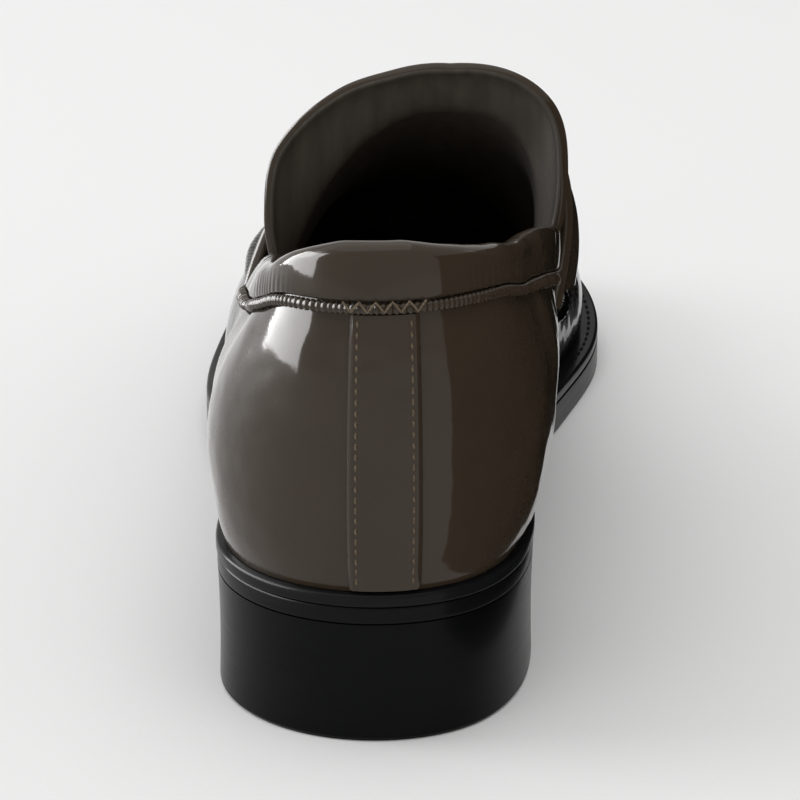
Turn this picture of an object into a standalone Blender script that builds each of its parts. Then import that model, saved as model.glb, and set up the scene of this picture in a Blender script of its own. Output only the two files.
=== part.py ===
# Loafer pump, left shoe: a penny-style loafer on a low block heel.
# Metres, +Z up, the toe points to +Y and the inner (medial) side of the foot is at +X.
# The shoe is drawn from its last: an outline seen from above, a height profile seen from the side,
# and cross-sections whose two ends are the feather line (where upper meets welt) and the ridge.

import math

import bmesh
import bpy
import numpy as np
from mathutils import Matrix

MM = 0.001

# Driving dimensions
SOLE_LENGTH = 275 * MM
BALL_WIDTH = 90.5 * MM
SEAT_HEIGHT = 29.7 * MM
FOREPART_HEIGHT = 9 * MM
TOE_SPRING = 8 * MM
BACK_HEIGHT = 56.0 * MM
RIDGE_TOP = 101.0 * MM

# Walls and gaps
SEAM_GAP = 0.3 * MM
FEATHER_GAP = 0.4 * MM
UPPER_WALL = 1.6 * MM
WELT_THICKNESS = 2.5 * MM
SEAT_SOLE_THICKNESS = 2.7 * MM
SHANK_SOLE_THICKNESS = 4.6 * MM
TREAD_FLATTENING = 0.5 * MM
INSOLE_RISE = 2.0 * MM
INSOLE_CLEARANCE = 0.5 * MM
SADDLE_WALL = 2.3 * MM
SADDLE_GAP = 0.4 * MM
TONGUE_WALL = 2.0 * MM
STRAP_WALL = 1.1 * MM
STRAP_GAP = 0.4 * MM

# Rounded edges
OUTSOLE_ROUND = 0.5 * MM
WELT_ROUND = 0.7 * MM
INSOLE_ROUND = 0.6 * MM
HEEL_ROUND = 0.6 * MM

# Ledges of the welt beyond the upper
HEEL_LEDGE = 1.6 * MM
FOREPART_LEDGE = 4.2 * MM

# Heel block
HEEL_LENGTH = 63 * MM
HEEL_BREAST_HOLLOW = 3.5 * MM
HEEL_TAPER = 0.1 * MM
HEEL_LIP = 0.3 * MM
HEEL_LIP_DEPTH = 4.0 * MM
HEEL_BACK_LEAN = -0.4 * MM
SEAT_DRAW_IN = 0.25 * MM

# Collar, its gathered seam and the strap down the back
COLLAR_HEIGHT = 11.0 * MM
COLLAR_THICKNESS = 4.4 * MM
COLLAR_GAP = 0.45 * MM
COLLAR_FRONT = 98 * MM
COLLAR_FRONT_THINNING = 0.25
GATHER_RADIUS = 1.5 * MM
GATHER_RADIUS_BACK = 0.8 * MM
STRAP_WIDTH = 13.2 * MM
STRAP_SHIFT = 2.4 * MM
STRAP_SIDE_REACH = 14 * MM

# Saddle across the instep, tongue under it, raised seam round the vamp
SADDLE_REAR = 98.6 * MM
SADDLE_REAR_TOP = 119 * MM
SADDLE_WIDTH = 46 * MM
SADDLE_WIDTH_TOP = 29 * MM
TONGUE_ROOT = 144 * MM
TONGUE_TUCK = UPPER_WALL + 1.5 * MM
MOC_SEAM_RADIUS = 1.3 * MM
MOC_SEAM_GAP = 0.6 * MM
THROAT = 132 * MM
THROAT_CURVE = 1.8

# How finely the curves are cut into facets
STATIONS = 30
WALL_STEPS = 13
THROAT_STATIONS = 12
TONGUE_STEPS = 12
SADDLE_STEPS = 12

MEDIAL = 1
LATERAL = -1

# Outline of the sole from above. along: share of the sole's length from the back of the heel.
# across: share of the ball width, medial positive.
SOLE_OUTLINE = [
    # along, across
    (0.000, 0.000),
    (0.026, -0.220),
    (0.075, -0.322),
    (0.160, -0.345),
    (0.305, -0.350),
    (0.445, -0.390),
    (0.555, -0.465),
    (0.655, -0.492),
    (0.764, -0.472),
    (0.860, -0.422),
    (0.935, -0.315),
    (0.982, -0.155),
    (1.000, 0.035),
    (0.982, 0.225),
    (0.940, 0.375),
    (0.880, 0.475),
    (0.800, 0.518),
    (0.738, 0.508),
    (0.680, 0.470),
    (0.590, 0.396),
    (0.500, 0.335),
    (0.400, 0.306),
    (0.280, 0.316),
    (0.160, 0.336),
    (0.075, 0.300),
    (0.026, 0.208),
]

# Height of the welt's top. along: share of the sole's length.
# seat: share of the drop from the seat to the forepart still to come. spring: share of the toe spring.
SOLE_PROFILE = [
    # along, seat, spring
    (0.00, 1.00, 0.00),
    (0.15, 0.98, 0.00),
    (0.26, 0.88, 0.00),
    (0.38, 0.58, 0.00),
    (0.50, 0.22, 0.00),
    (0.60, 0.03, 0.00),
    (0.70, 0.00, 0.00),
    (0.80, 0.00, 0.14),
    (0.90, 0.00, 0.50),
    (1.00, 0.00, 1.00),
]

# Ridge of the last, seen from the side and from above. height: share of the ridge's height at the
# tongue's edge. across: share of the ball width, medial positive.
RIDGE = [
    # along, height, across
    (0.290, 1.150, 0.140),
    (0.335, 1.080, 0.140),
    (0.378, 1.000, 0.138),
    (0.429, 0.910, 0.118),
    (0.465, 0.845, 0.098),
    (0.516, 0.755, 0.075),
    (0.575, 0.670, 0.055),
    (0.633, 0.595, 0.036),
    (0.702, 0.520, 0.020),
    (0.778, 0.452, 0.010),
    (0.865, 0.400, 0.006),
]

# Cross-sections of the vamp: handles of a curve that climbs from the feather line to the ridge.
# wall: how far the lower handle stands outside the feather line, and roof: how far the upper handle
# does, both as shares of the ball width. up: the lower handle's height as a share of the section's.
VAMP_SECTIONS = [
    # along, medial_wall, lateral_wall, up, medial_roof, lateral_roof
    (0.290, 0.110, 0.025, 0.50, 0.215, -0.150),
    (0.378, 0.130, 0.018, 0.50, 0.218, -0.172),
    (0.429, 0.149, 0.015, 0.50, 0.205, -0.190),
    (0.473, 0.185, 0.000, 0.50, 0.215, -0.210),
    (0.545, 0.140, 0.000, 0.49, 0.100, -0.210),
    (0.650, 0.065, 0.030, 0.46, -0.060, -0.175),
    (0.760, 0.040, 0.040, 0.50, -0.140, -0.160),
    (0.880, 0.030, 0.035, 0.60, -0.130, -0.140),
    (1.000, 0.030, 0.030, 0.68, -0.100, -0.100),
]

# Cross-sections of the quarter: handles of a curve that climbs from the feather line to the topline.
# How far each stands outside the feather line, as a share of the ball width: belly is the lower
# handle, shoulder the upper one, and top the topline itself.
QUARTER_SECTIONS = [
    # along, medial_belly, lateral_belly, medial_shoulder, lateral_shoulder, medial_top, lateral_top
    (0.000, 0.030, 0.030, 0.022, 0.022, -0.026, -0.026),
    (0.060, 0.040, 0.034, 0.048, 0.048, -0.030, -0.078),
    (0.138, 0.056, 0.038, 0.092, 0.090, -0.018, -0.088),
    (0.180, 0.060, 0.032, 0.118, 0.100, 0.010, -0.062),
    (0.255, 0.060, 0.036, 0.118, 0.060, 0.055, -0.040),
    (0.327, 0.065, 0.030, 0.105, 0.022, 0.080, -0.026),
    (0.380, 0.070, 0.030, 0.105, 0.015, 0.085, -0.026),
]

# Topline, as a share of the height at the back of the heel, above the seat. It dips below the ankle.
TOPLINE = [
    # along, medial, lateral
    (0.000, 1.000, 1.000),
    (0.020, 0.997, 0.995),
    (0.062, 0.970, 0.945),
    (0.115, 0.895, 0.862),
    (0.182, 0.820, 0.754),
    (0.255, 0.716, 0.650),
    (0.327, 0.611, 0.538),
    (0.372, 0.545, 0.480),
]

# Lean of the collar along its run, as a share of its height.
COLLAR_LEAN = [
    # along, medial, lateral
    (0.000, 0.18, 0.18),
    (0.050, 0.10, 0.16),
    (0.110, 0.00, 0.18),
    (0.180, -0.02, 0.38),
    (0.290, -0.02, 0.60),
    (0.372, -0.02, 0.50),
]

# Height of the collar band along its run, as a share of its height at the heel.
COLLAR_DEPTH = [
    # along, medial, lateral
    (0.000, 1.00, 1.00),
    (0.013, 1.00, 0.98),
    (0.024, 0.87, 0.80),
    (0.038, 0.74, 0.66),
    (0.060, 0.64, 0.60),
    (0.085, 0.64, 0.60),
    (0.130, 0.76, 0.68),
    (0.200, 0.80, 0.70),
    (0.372, 0.84, 0.64),
]

# Raised seam round the vamp: its height as a share of the section's.
MOC_LINE = [
    # along, medial, lateral
    (0.370, 0.26, 0.26),
    (0.480, 0.38, 0.40),
    (0.600, 0.56, 0.56),
    (0.760, 0.74, 0.74),
    (0.900, 0.80, 0.80),
    (1.000, 0.78, 0.78),
]
MOC_START = 103 * MM

# Lowest line of the saddle, at its rear and front, and of the tongue, as shares of the section's height.
SADDLE_LOW_REAR = 0.37
SADDLE_LOW_FRONT = 0.52
TONGUE_LOW = 0.46

# How far the tongue's free edge flares out from the last. climb: 0 at its lower ends, 1 at the ridge.
TONGUE_FLARE = [
    # climb, medial, lateral
    (0.00, -3.0, -3.0),
    (0.15, 0.3, 2.6),
    (0.35, 1.7, 7.0),
    (0.60, 3.4, 5.2),
    (0.80, 3.0, 2.9),
    (1.00, 2.3, 2.3),
]
TONGUE_EDGE_LOW = 100.5 * MM
TONGUE_EDGE_TOP = 104 * MM
TONGUE_BEND = 7.5 * MM

# The strap down the back, as shares of the way from the feather line to the topline.
STRAP_START = 0.05
STRAP_END = 0.945

# Stations where the upper's meridians stop running square to the length and fan round heel and toe.
HEEL_FAN = 0.135
HEEL_SHIFT = 1.5 * MM
TOE_FAN = 0.865
QUARTER_END = 0.25
QUARTER_FOOT = 0.16
QUARTER_SHOULDER = 0.62
VAMP_START = 0.36


def table_column(rows, column, along):
    """A column of a table at a share along the shoe: a smooth curve through the rows, with level ends."""
    places = np.array([row[0] for row in rows])
    values = np.array([row[column] for row in rows])
    steps = np.diff(places)
    slopes = np.diff(values) / steps
    tangents = np.zeros(len(places))
    same_way = slopes[:-1] * slopes[1:] > 0
    harmonic = 2 * slopes[:-1] * slopes[1:] / np.where(same_way, slopes[:-1] + slopes[1:], 1)
    tangents[1:-1] = np.where(same_way, harmonic, 0)
    tangents[0] = slopes[0]
    tangents[-1] = slopes[-1]
    along = np.clip(np.asarray(along, float), places[0], places[-1])
    index = np.clip(np.searchsorted(places, along, side="right") - 1, 0, len(places) - 2)
    step = steps[index]
    t = (along - places[index]) / step
    return (
        (2 * t**3 - 3 * t**2 + 1) * values[index]
        + (t**3 - 2 * t**2 + t) * step * tangents[index]
        + (3 * t**2 - 2 * t**3) * values[index + 1]
        + (t**3 - t**2) * step * tangents[index + 1]
    )


def closed_spline(points, count):
    """A closed curve with even curvature through the points: cubic pieces over chord length."""
    points = np.asarray(points, float)
    number = len(points)
    chords = np.linalg.norm(np.roll(points, -1, axis=0) - points, axis=1)
    before = np.roll(chords, 1)
    system = np.zeros((number, number))
    for i in range(number):
        system[i, i - 1] = chords[i]
        system[i, i] = 2 * (before[i] + chords[i])
        system[i, (i + 1) % number] = before[i]
    ahead = (np.roll(points, -1, axis=0) - points) / chords[:, None]
    behind = np.roll(ahead, 1, axis=0)
    right = 3 * (chords[:, None] * behind + before[:, None] * ahead)
    tangents = np.linalg.solve(system, right)
    per_piece = count // number
    t = np.arange(per_piece) / per_piece
    pieces = []
    for i in range(number):
        after = (i + 1) % number
        pieces.append(
            np.outer(2 * t**3 - 3 * t**2 + 1, points[i])
            + np.outer((t**3 - 2 * t**2 + t) * chords[i], tangents[i])
            + np.outer(3 * t**2 - 2 * t**3, points[after])
            + np.outer((t**3 - t**2) * chords[i], tangents[after])
        )
    return np.vstack(pieces)


def outward(ring):
    """Unit normals of a flat closed ring that runs from the heel up the lateral side to the toe and back."""
    run = np.roll(ring, -1, axis=0) - np.roll(ring, 1, axis=0)
    normal = np.stack([-run[:, 1], run[:, 0]], axis=1)
    return normal / np.linalg.norm(normal, axis=1)[:, None]


def smooth_step(value, start, end):
    """0 before start, 1 after end, and an even climb between them."""
    t = np.clip((np.asarray(value, float) - start) / (end - start), 0, 1)
    return t * t * (3 - 2 * t)


SOLE_CURVE = closed_spline(
    [(across * BALL_WIDTH, along * SOLE_LENGTH) for along, across in SOLE_OUTLINE], 1140
)


def ledge_width(y):
    """How far the welt stands out beyond the upper: narrow round the heel, wide round the forepart."""
    return HEEL_LEDGE + (FOREPART_LEDGE - HEEL_LEDGE) * smooth_step(y / SOLE_LENGTH, 0.25, 0.60)


def curve_sides(curve):
    """A closed curve as two runs from heel back to toe tip: lateral and medial, each (y, x) sorted."""
    back = int(np.argmin(curve[:, 1]))
    run = np.roll(curve, -back, axis=0)
    tip = int(np.argmax(run[:, 1]))
    lateral = run[: tip + 1]
    medial = np.vstack([run[tip:], run[:1]])[::-1]
    return lateral, medial


def inset_curve(extra):
    """The sole's curve moved in to the feather line, and further in by extra."""
    shift = ledge_width(SOLE_CURVE[:, 1]) + extra
    return SOLE_CURVE - outward(SOLE_CURVE) * shift[:, None]


def half_stations(curve, count=STATIONS):
    """Places along a curve's length, close together at heel and toe so that both ends stay round."""
    low, high = curve[:, 1].min(), curve[:, 1].max()
    angle = np.linspace(0, math.pi, count + 1)
    return low + (high - low) * (1 - np.cos(angle)) / 2


def paired_ring(curve, count=STATIONS):
    """A closed ring on a curve: heel back, up the lateral side, toe tip, down the medial side.
    The two sides have their points at the same places along, so a slab can be bridged across."""
    lateral, medial = curve_sides(curve)
    places = half_stations(curve, count)
    left = np.stack([np.interp(places, lateral[:, 1], lateral[:, 0]), places], axis=1)
    right = np.stack([np.interp(places, medial[:, 1], medial[:, 0]), places], axis=1)
    return np.vstack([left, right[-2:0:-1]])


def welt_top(y):
    """Height of the welt's upper face, from the seat down the shank to the forepart and up at the toe."""
    along = np.asarray(y, float) / SOLE_LENGTH
    drop = (SEAT_HEIGHT - FOREPART_HEIGHT) * table_column(SOLE_PROFILE, 1, along)
    return FOREPART_HEIGHT + drop + TOE_SPRING * table_column(SOLE_PROFILE, 2, along)


def outsole_top(y):
    return welt_top(y) - WELT_THICKNESS - SEAM_GAP


def outsole_bottom(y):
    """The tread face: flat on the floor at the ball, it lifts at the toe and arches up to the heel."""
    along = np.asarray(y, float) / SOLE_LENGTH
    tread = FOREPART_HEIGHT - WELT_THICKNESS - SEAM_GAP
    shank = SHANK_SOLE_THICKNESS + (tread - SHANK_SOLE_THICKNESS) * smooth_step(along, 0.42, 0.62)
    thickness = SEAT_SOLE_THICKNESS + (shank - SEAT_SOLE_THICKNESS) * smooth_step(along, 0.20, 0.36)
    return np.maximum(outsole_top(y) - thickness - TREAD_FLATTENING, 0.0)


FEATHER_CURVE = inset_curve(0.0)
FEATHER_SIDES = dict(zip((LATERAL, MEDIAL), curve_sides(FEATHER_CURVE)))


def feather_x(side, y):
    run = FEATHER_SIDES[side]
    return np.interp(y, run[:, 1], run[:, 0])


def bezier(handles, t):
    """Point of a cubic curve with four handles, each an array that matches t."""
    a, b, c, d = handles
    return (1 - t) ** 3 * a + 3 * (1 - t) ** 2 * t * b + 3 * (1 - t) * t**2 * c + t**3 * d


def spine(y):
    """The point above which a meridian ends: on the ridge, or the fan's centre at heel and toe."""
    held = np.clip(y, HEEL_FAN * SOLE_LENGTH, TOE_FAN * SOLE_LENGTH)
    x = BALL_WIDTH * table_column(RIDGE, 2, held / SOLE_LENGTH)
    share = smooth_step(held / SOLE_LENGTH, HEEL_FAN, QUARTER_END)
    return HEEL_SHIFT + (x - HEEL_SHIFT) * share, held


def ridge_height(y):
    held = np.clip(y, 0, TOE_FAN * SOLE_LENGTH)
    return RIDGE_TOP * table_column(RIDGE, 1, held / SOLE_LENGTH)


def topline_height(side, y):
    column = 1 if side == MEDIAL else 2
    return SEAT_HEIGHT + BACK_HEIGHT * table_column(TOPLINE, column, y / SOLE_LENGTH)


def meridian_base(side, y):
    """Feather point, the spine point above it, the distance and the outward direction between them."""
    base_x = feather_x(side, y)
    spine_x, spine_y = spine(y)
    reach = np.hypot(base_x - spine_x, y - spine_y)
    direction = np.stack([(base_x - spine_x) / reach, (y - spine_y) / reach], axis=-1)
    return base_x, reach, direction


def vamp_offsets(side, y, t):
    """Outward distance from the feather line and height above it, on the last's full section."""
    along = y / SOLE_LENGTH
    out_column, roof_column = (1, 4) if side == MEDIAL else (2, 5)
    _, reach, _ = meridian_base(side, y)
    height = ridge_height(y) - welt_top(y) - FEATHER_GAP
    wall = BALL_WIDTH * table_column(VAMP_SECTIONS, out_column, along)
    up = table_column(VAMP_SECTIONS, 3, along)
    roof = BALL_WIDTH * table_column(VAMP_SECTIONS, roof_column, along)
    outs = (0 * reach, wall, roof, -reach)
    ups = (0 * reach, up * height, height, height)
    return bezier(outs, t), bezier(ups, t)


def section_step(y, share):
    """Where on the last's section a share of its height is reached."""
    ts = np.linspace(0, 1, 201)
    up = table_column(VAMP_SECTIONS, 3, y / SOLE_LENGTH)
    climbs = [bezier((0, handle, 1, 1), ts) for handle in up]
    return np.array([np.interp(share[i], climbs[i], ts) for i in range(len(y))])


def vamp_stop(side, y):
    """Where on the section the upper ends: at the ridge over the vamp, and behind it on the throat's
    edge, which leaves the collar level and climbs to the ridge under the saddle."""
    edge = topline_height(side, np.minimum(y, TOPLINE[-1][0] * SOLE_LENGTH))
    climb = np.clip((y - COLLAR_FRONT) / (THROAT - COLLAR_FRONT), 0, 1)
    full = ridge_height(y) - welt_top(y) - FEATHER_GAP
    start = np.clip((edge - welt_top(y) - FEATHER_GAP) / full, 0.05, 1)
    low = section_step(y, start)
    return low + (1 - low) * climb**THROAT_CURVE


def quarter_offsets(side, y, v):
    """Outward distance from the feather line and height above it, between seat and topline."""
    along = y / SOLE_LENGTH
    belly_column, shoulder_column, top_column = (1, 3, 5) if side == MEDIAL else (2, 4, 6)
    height = topline_height(side, y) - welt_top(y) - FEATHER_GAP
    belly = BALL_WIDTH * table_column(QUARTER_SECTIONS, belly_column, along)
    shoulder = BALL_WIDTH * table_column(QUARTER_SECTIONS, shoulder_column, along)
    top = BALL_WIDTH * table_column(QUARTER_SECTIONS, top_column, along)
    outs = (0 * belly, belly, shoulder, top)
    ups = (0 * belly, QUARTER_FOOT * height, QUARTER_SHOULDER * height, height)
    return bezier(outs, v), bezier(ups, v)


def last_points(side, y, v):
    """Points of the upper's outer face. side, y: the meridian. v: 0 at the feather line, 1 at the top
    edge or the ridge. y and v are arrays of one length."""
    y = np.asarray(y, float)
    v = np.asarray(v, float)
    base_x, _, direction = meridian_base(side, y)
    share = smooth_step(y / SOLE_LENGTH, QUARTER_END, VAMP_START)
    stop = vamp_stop(side, y)
    vamp_out, vamp_up = vamp_offsets(side, y, v * stop)
    quarter_out, quarter_up = quarter_offsets(side, y, v)
    out = quarter_out + (vamp_out - quarter_out) * share
    up = quarter_up + (vamp_up - quarter_up) * share
    x = base_x + direction[:, 0] * out
    along = y + direction[:, 1] * out
    return np.stack([x, along, welt_top(y) + FEATHER_GAP + up], axis=1)


def full_section(side, y, t):
    """Points of the last's full section, feather line to ridge, as if the shoe had no opening."""
    y = np.asarray(y, float)
    t = np.asarray(t, float)
    base_x, _, direction = meridian_base(side, y)
    out, up = vamp_offsets(side, y, t)
    x = base_x + direction[:, 0] * out
    along = y + direction[:, 1] * out
    return np.stack([x, along, welt_top(y) + FEATHER_GAP + up], axis=1)


def grid_mesh(name, grid, close_u=False):
    """An open sheet over a grid of points, doubles merged."""
    rows, columns = grid.shape[:2]
    mesh = bpy.data.meshes.new(name)
    faces = []
    for i in range(rows if close_u else rows - 1):
        below = (i + 1) % rows
        for j in range(columns - 1):
            faces.append((i * columns + j, below * columns + j, below * columns + j + 1, i * columns + j + 1))
    mesh.from_pydata(grid.reshape(-1, 3).tolist(), [], faces)
    work = bmesh.new()
    work.from_mesh(mesh)
    bmesh.ops.remove_doubles(work, verts=work.verts, dist=0.02 * MM)
    bmesh.ops.dissolve_degenerate(work, edges=work.edges, dist=0.01 * MM)
    work.to_mesh(mesh)
    work.free()
    return mesh


def face_outwards(mesh):
    work = bmesh.new()
    work.from_mesh(mesh)
    bmesh.ops.recalc_face_normals(work, faces=work.faces)
    if work.calc_volume(signed=True) < 0:
        bmesh.ops.reverse_faces(work, faces=work.faces)
    work.to_mesh(mesh)
    work.free()


def add_object(name, mesh, material, smooth=True):
    if smooth:
        mesh.shade_smooth()
    thing = bpy.data.objects.new(name, mesh)
    thing.data.materials.append(material)
    SHOE.objects.link(thing)
    return thing


def ring_loft(name, rings, material, bridge=True):
    """A solid between closed rings. With bridge its two end faces are ladders from side to side,
    so that they follow the profile along the length."""
    rings = np.asarray(rings, float)
    layers, number = rings.shape[:2]
    faces = []
    for layer in range(layers - 1):
        for i in range(number):
            after = (i + 1) % number
            lower, upper = layer * number, (layer + 1) * number
            faces.append((lower + i, lower + after, upper + after, upper + i))
    ends = (0, (layers - 1) * number) if bridge else ()
    half = number // 2
    for start in ends:
        for i in range(half):
            left, left_next = start + i, start + i + 1
            right, right_next = start + (number - i) % number, start + number - i - 1
            face = [left, left_next, right_next, right]
            face = list(dict.fromkeys(face))
            faces.append(tuple(face))
    if not bridge:
        for i in range(number):
            after = (i + 1) % number
            first, last = 0, (layers - 1) * number
            faces.append((last + i, last + after, first + after, first + i))
    mesh = bpy.data.meshes.new(name)
    mesh.from_pydata(rings.reshape(-1, 3).tolist(), [], faces)
    face_outwards(mesh)
    thing = add_object(name, mesh, material)
    mesh.set_sharp_from_angle(angle=math.radians(35))
    return thing


def ring_at(flat, height):
    return np.column_stack([flat, height])


def shrink(flat, amount):
    return flat - outward(flat) * amount


def make_material(name, colour, roughness, metallic=0.0):
    material = bpy.data.materials.new(name)
    material.use_nodes = True
    shader = material.node_tree.nodes["Principled BSDF"]
    shader.inputs["Base Color"].default_value = (*colour, 1.0)
    shader.inputs["Roughness"].default_value = roughness
    shader.inputs["Metallic"].default_value = metallic
    return material


def make_outsole(material):
    """Black sole from toe to heel seat, with a rounded edge, an arch and toe spring."""
    flat = paired_ring(SOLE_CURVE)
    y = flat[:, 1]
    top, bottom = outsole_top(y), outsole_bottom(y)
    thickness = top - bottom
    edge = np.minimum(OUTSOLE_ROUND, 0.25 * thickness)
    # Under the seat the sole's edge draws in towards the heel block; at the forepart it is square.
    seat_share = 1 - smooth_step(y / SOLE_LENGTH, 0.24, 0.34)
    draw_in = (SEAT_DRAW_IN * seat_share)[:, None]
    normals = outward(flat)
    rings = [
        ring_at(flat - normals * (draw_in + OUTSOLE_ROUND), bottom),
        ring_at(flat - normals * draw_in, bottom + edge),
        ring_at(flat - normals * draw_in / 2, top - edge),
        ring_at(flat - normals * (draw_in / 2 + OUTSOLE_ROUND), top),
    ]
    return ring_loft("outsole", rings, material)


def make_welt(material):
    """A strip round the whole shoe that stands out as a ledge; the upper stands on its inner half."""
    flat = paired_ring(SOLE_CURVE)
    y = flat[:, 1]
    inner_width = ledge_width(y) + UPPER_WALL + SEAM_GAP
    inner = flat - outward(flat) * inner_width[:, None]
    top = welt_top(y)
    bottom = top - WELT_THICKNESS
    rings = [
        ring_at(inner, welt_top(inner[:, 1]) - WELT_THICKNESS),
        ring_at(shrink(flat, WELT_ROUND / 2), bottom),
        ring_at(flat, bottom + WELT_ROUND),
        ring_at(flat, top - WELT_ROUND),
        ring_at(shrink(flat, WELT_ROUND), top),
        ring_at(inner, welt_top(inner[:, 1])),
    ]
    return ring_loft("welt", rings, material, bridge=False)


def make_insole(material):
    """Board and sock together: it fills the welt's opening and stands a little above it."""
    flat = paired_ring(inset_curve(UPPER_WALL + SEAM_GAP + INSOLE_CLEARANCE))
    y = flat[:, 1]
    top = welt_top(y) + INSOLE_RISE
    rings = [
        ring_at(flat, outsole_top(y) + FEATHER_GAP),
        ring_at(flat, top - INSOLE_ROUND),
        ring_at(shrink(flat, INSOLE_ROUND), top),
    ]
    return ring_loft("insole", rings, material)


def heel_outline(length):
    """The heel block's outline at its seat: the sole's own outline, cut off by a hollow breast."""
    dense = paired_ring(SOLE_CURVE, 120)
    half = len(dense) // 2
    lateral, medial = dense[: half + 1], np.vstack([dense[half:], dense[:1]])[::-1]
    steps = 14
    places = length * (1 - np.cos(np.linspace(0, math.pi / 2, steps + 1)))
    left = np.stack([np.interp(places, lateral[:, 1], lateral[:, 0]), places], axis=1)
    right = np.stack([np.interp(places, medial[:, 1], medial[:, 0]), places], axis=1)
    across = np.linspace(0, 1, 9)[1:-1]
    hollow = HEEL_BREAST_HOLLOW * np.sin(math.pi * across)
    breast = np.stack(
        [left[-1, 0] + (right[-1, 0] - left[-1, 0]) * across, length - hollow], axis=1
    )
    return np.vstack([left, breast, right[:0:-1]])


def make_heel(material):
    """Block heel: nearly upright, drawn in a little under the sole's lip and at the floor."""
    flat = heel_outline(HEEL_LENGTH)
    middle = np.array([flat[:, 0].mean(), 0.5 * HEEL_LENGTH])
    top = outsole_bottom(flat[:, 1]) - SEAM_GAP
    normals = flat - middle
    normals = normals / np.linalg.norm(normals, axis=1)[:, None]

    def level(draw_in, height, lean):
        moved = flat - normals * draw_in
        moved[:, 1] += lean * (1 - flat[:, 1] / HEEL_LENGTH)
        return ring_at(moved, height)

    rings = [
        level(HEEL_LIP + HEEL_TAPER + HEEL_ROUND, 0 * top, HEEL_BACK_LEAN),
        level(HEEL_LIP + HEEL_TAPER, 0 * top + HEEL_ROUND, HEEL_BACK_LEAN),
        level(HEEL_LIP, top - HEEL_LIP_DEPTH, HEEL_BACK_LEAN / 3),
        level(HEEL_LIP, top, 0.0),
    ]
    number = len(flat)
    mesh = bpy.data.meshes.new("heel")
    points = np.vstack(rings)
    faces = []
    for layer in range(len(rings) - 1):
        for i in range(number):
            after = (i + 1) % number
            lower, upper = layer * number, (layer + 1) * number
            faces.append((lower + i, lower + after, upper + after, upper + i))
    faces.append(tuple(range(number)))
    faces.append(tuple(range((len(rings) - 1) * number, len(rings) * number)))
    mesh.from_pydata(points.tolist(), [], faces)
    face_outwards(mesh)
    thing = add_object("heel", mesh, material)
    mesh.set_sharp_from_angle(angle=math.radians(35))
    return thing


def upper_places():
    """Stations along the upper, with extra ones where its edge climbs from the collar to the throat."""
    climb = np.linspace(0, 1, THROAT_STATIONS) ** 0.75
    throat = COLLAR_FRONT + (THROAT - COLLAR_FRONT) * climb
    places = half_stations(FEATHER_CURVE)
    clear = [y for y in places if np.abs(throat - y).min() > 3 * MM or y > THROAT + 3 * MM]
    return np.sort(np.concatenate([clear, throat]))


def upper_ring():
    """The meridians round the shoe: (side, y) from heel back up the lateral side, round the toe, back."""
    places = upper_places()
    lateral = [(LATERAL, y) for y in places]
    medial = [(MEDIAL, y) for y in places[-2:0:-1]]
    return lateral + medial


def upper_inside(side, y, v):
    """Points of the upper's inner face: its outer face moved in by the wall, square to the surface.
    Along the ridge both sides share one point, found from the ridge's own slope."""
    on_ridge = (v >= 1) & (y >= THROAT)
    on_vamp = (y >= VAMP_START * SOLE_LENGTH) & ~on_ridge
    on_quarter = y < VAMP_START * SOLE_LENGTH
    inside = np.zeros((len(y), 3))
    vamp_y, quarter_y, ridge_y = y[on_vamp], y[on_quarter], y[on_ridge]
    t = v[on_vamp] * vamp_stop(side, vamp_y)
    inside[on_vamp] = offset_points(full_section, side, vamp_y, t, -UPPER_WALL)
    inside[on_quarter] = offset_points(last_points, side, quarter_y, v[on_quarter], -UPPER_WALL)
    _, held = spine(ridge_y)
    slope = (ridge_height(held + MM) - ridge_height(held - MM)) / (2 * MM)
    down = np.column_stack([0 * slope, slope, -np.ones(len(slope))])
    down = down / np.linalg.norm(down, axis=1)[:, None]
    inside[on_ridge] = last_points(side, ridge_y, v[on_ridge]) + down * UPPER_WALL
    return inside


def make_upper(material):
    """Vamp and quarters in one shell with a real wall: a loft through unlike sections, open at the
    collar and throat, and underneath. Each ring runs up its outer face and down its inner one."""
    meridians = upper_ring()
    v = np.linspace(0, 1, WALL_STEPS + 1)
    rings = np.zeros((len(meridians), 2 * len(v), 3))
    for side in (LATERAL, MEDIAL):
        chosen = [i for i, meridian in enumerate(meridians) if meridian[0] == side]
        places = np.array([meridians[i][1] for i in chosen])
        for j, step in enumerate(v):
            steps = np.full(len(places), step)
            rings[chosen, j] = last_points(side, places, steps)
            rings[chosen, -1 - j] = upper_inside(side, places, steps)
    number, columns = rings.shape[:2]
    rim = len(v) - 1
    faces = []
    for i in range(number):
        after = (i + 1) % number
        closed_over = min(meridians[i][1], meridians[after][1]) >= THROAT
        for j in range(columns):
            if j == rim and closed_over:
                continue
            above = (j + 1) % columns
            first, second = i * columns, after * columns
            faces.append((first + j, second + j, second + above, first + above))
    mesh = bpy.data.meshes.new("upper")
    mesh.from_pydata(rings.reshape(-1, 3).tolist(), [], faces)
    work = bmesh.new()
    work.from_mesh(mesh)
    bmesh.ops.remove_doubles(work, verts=work.verts, dist=0.02 * MM)
    bmesh.ops.dissolve_degenerate(work, edges=work.edges, dist=0.01 * MM)
    work.to_mesh(mesh)
    work.free()
    face_outwards(mesh)
    thing = add_object("upper", mesh, material)
    mesh.set_sharp_from_angle(angle=math.radians(40))
    return thing


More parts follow.
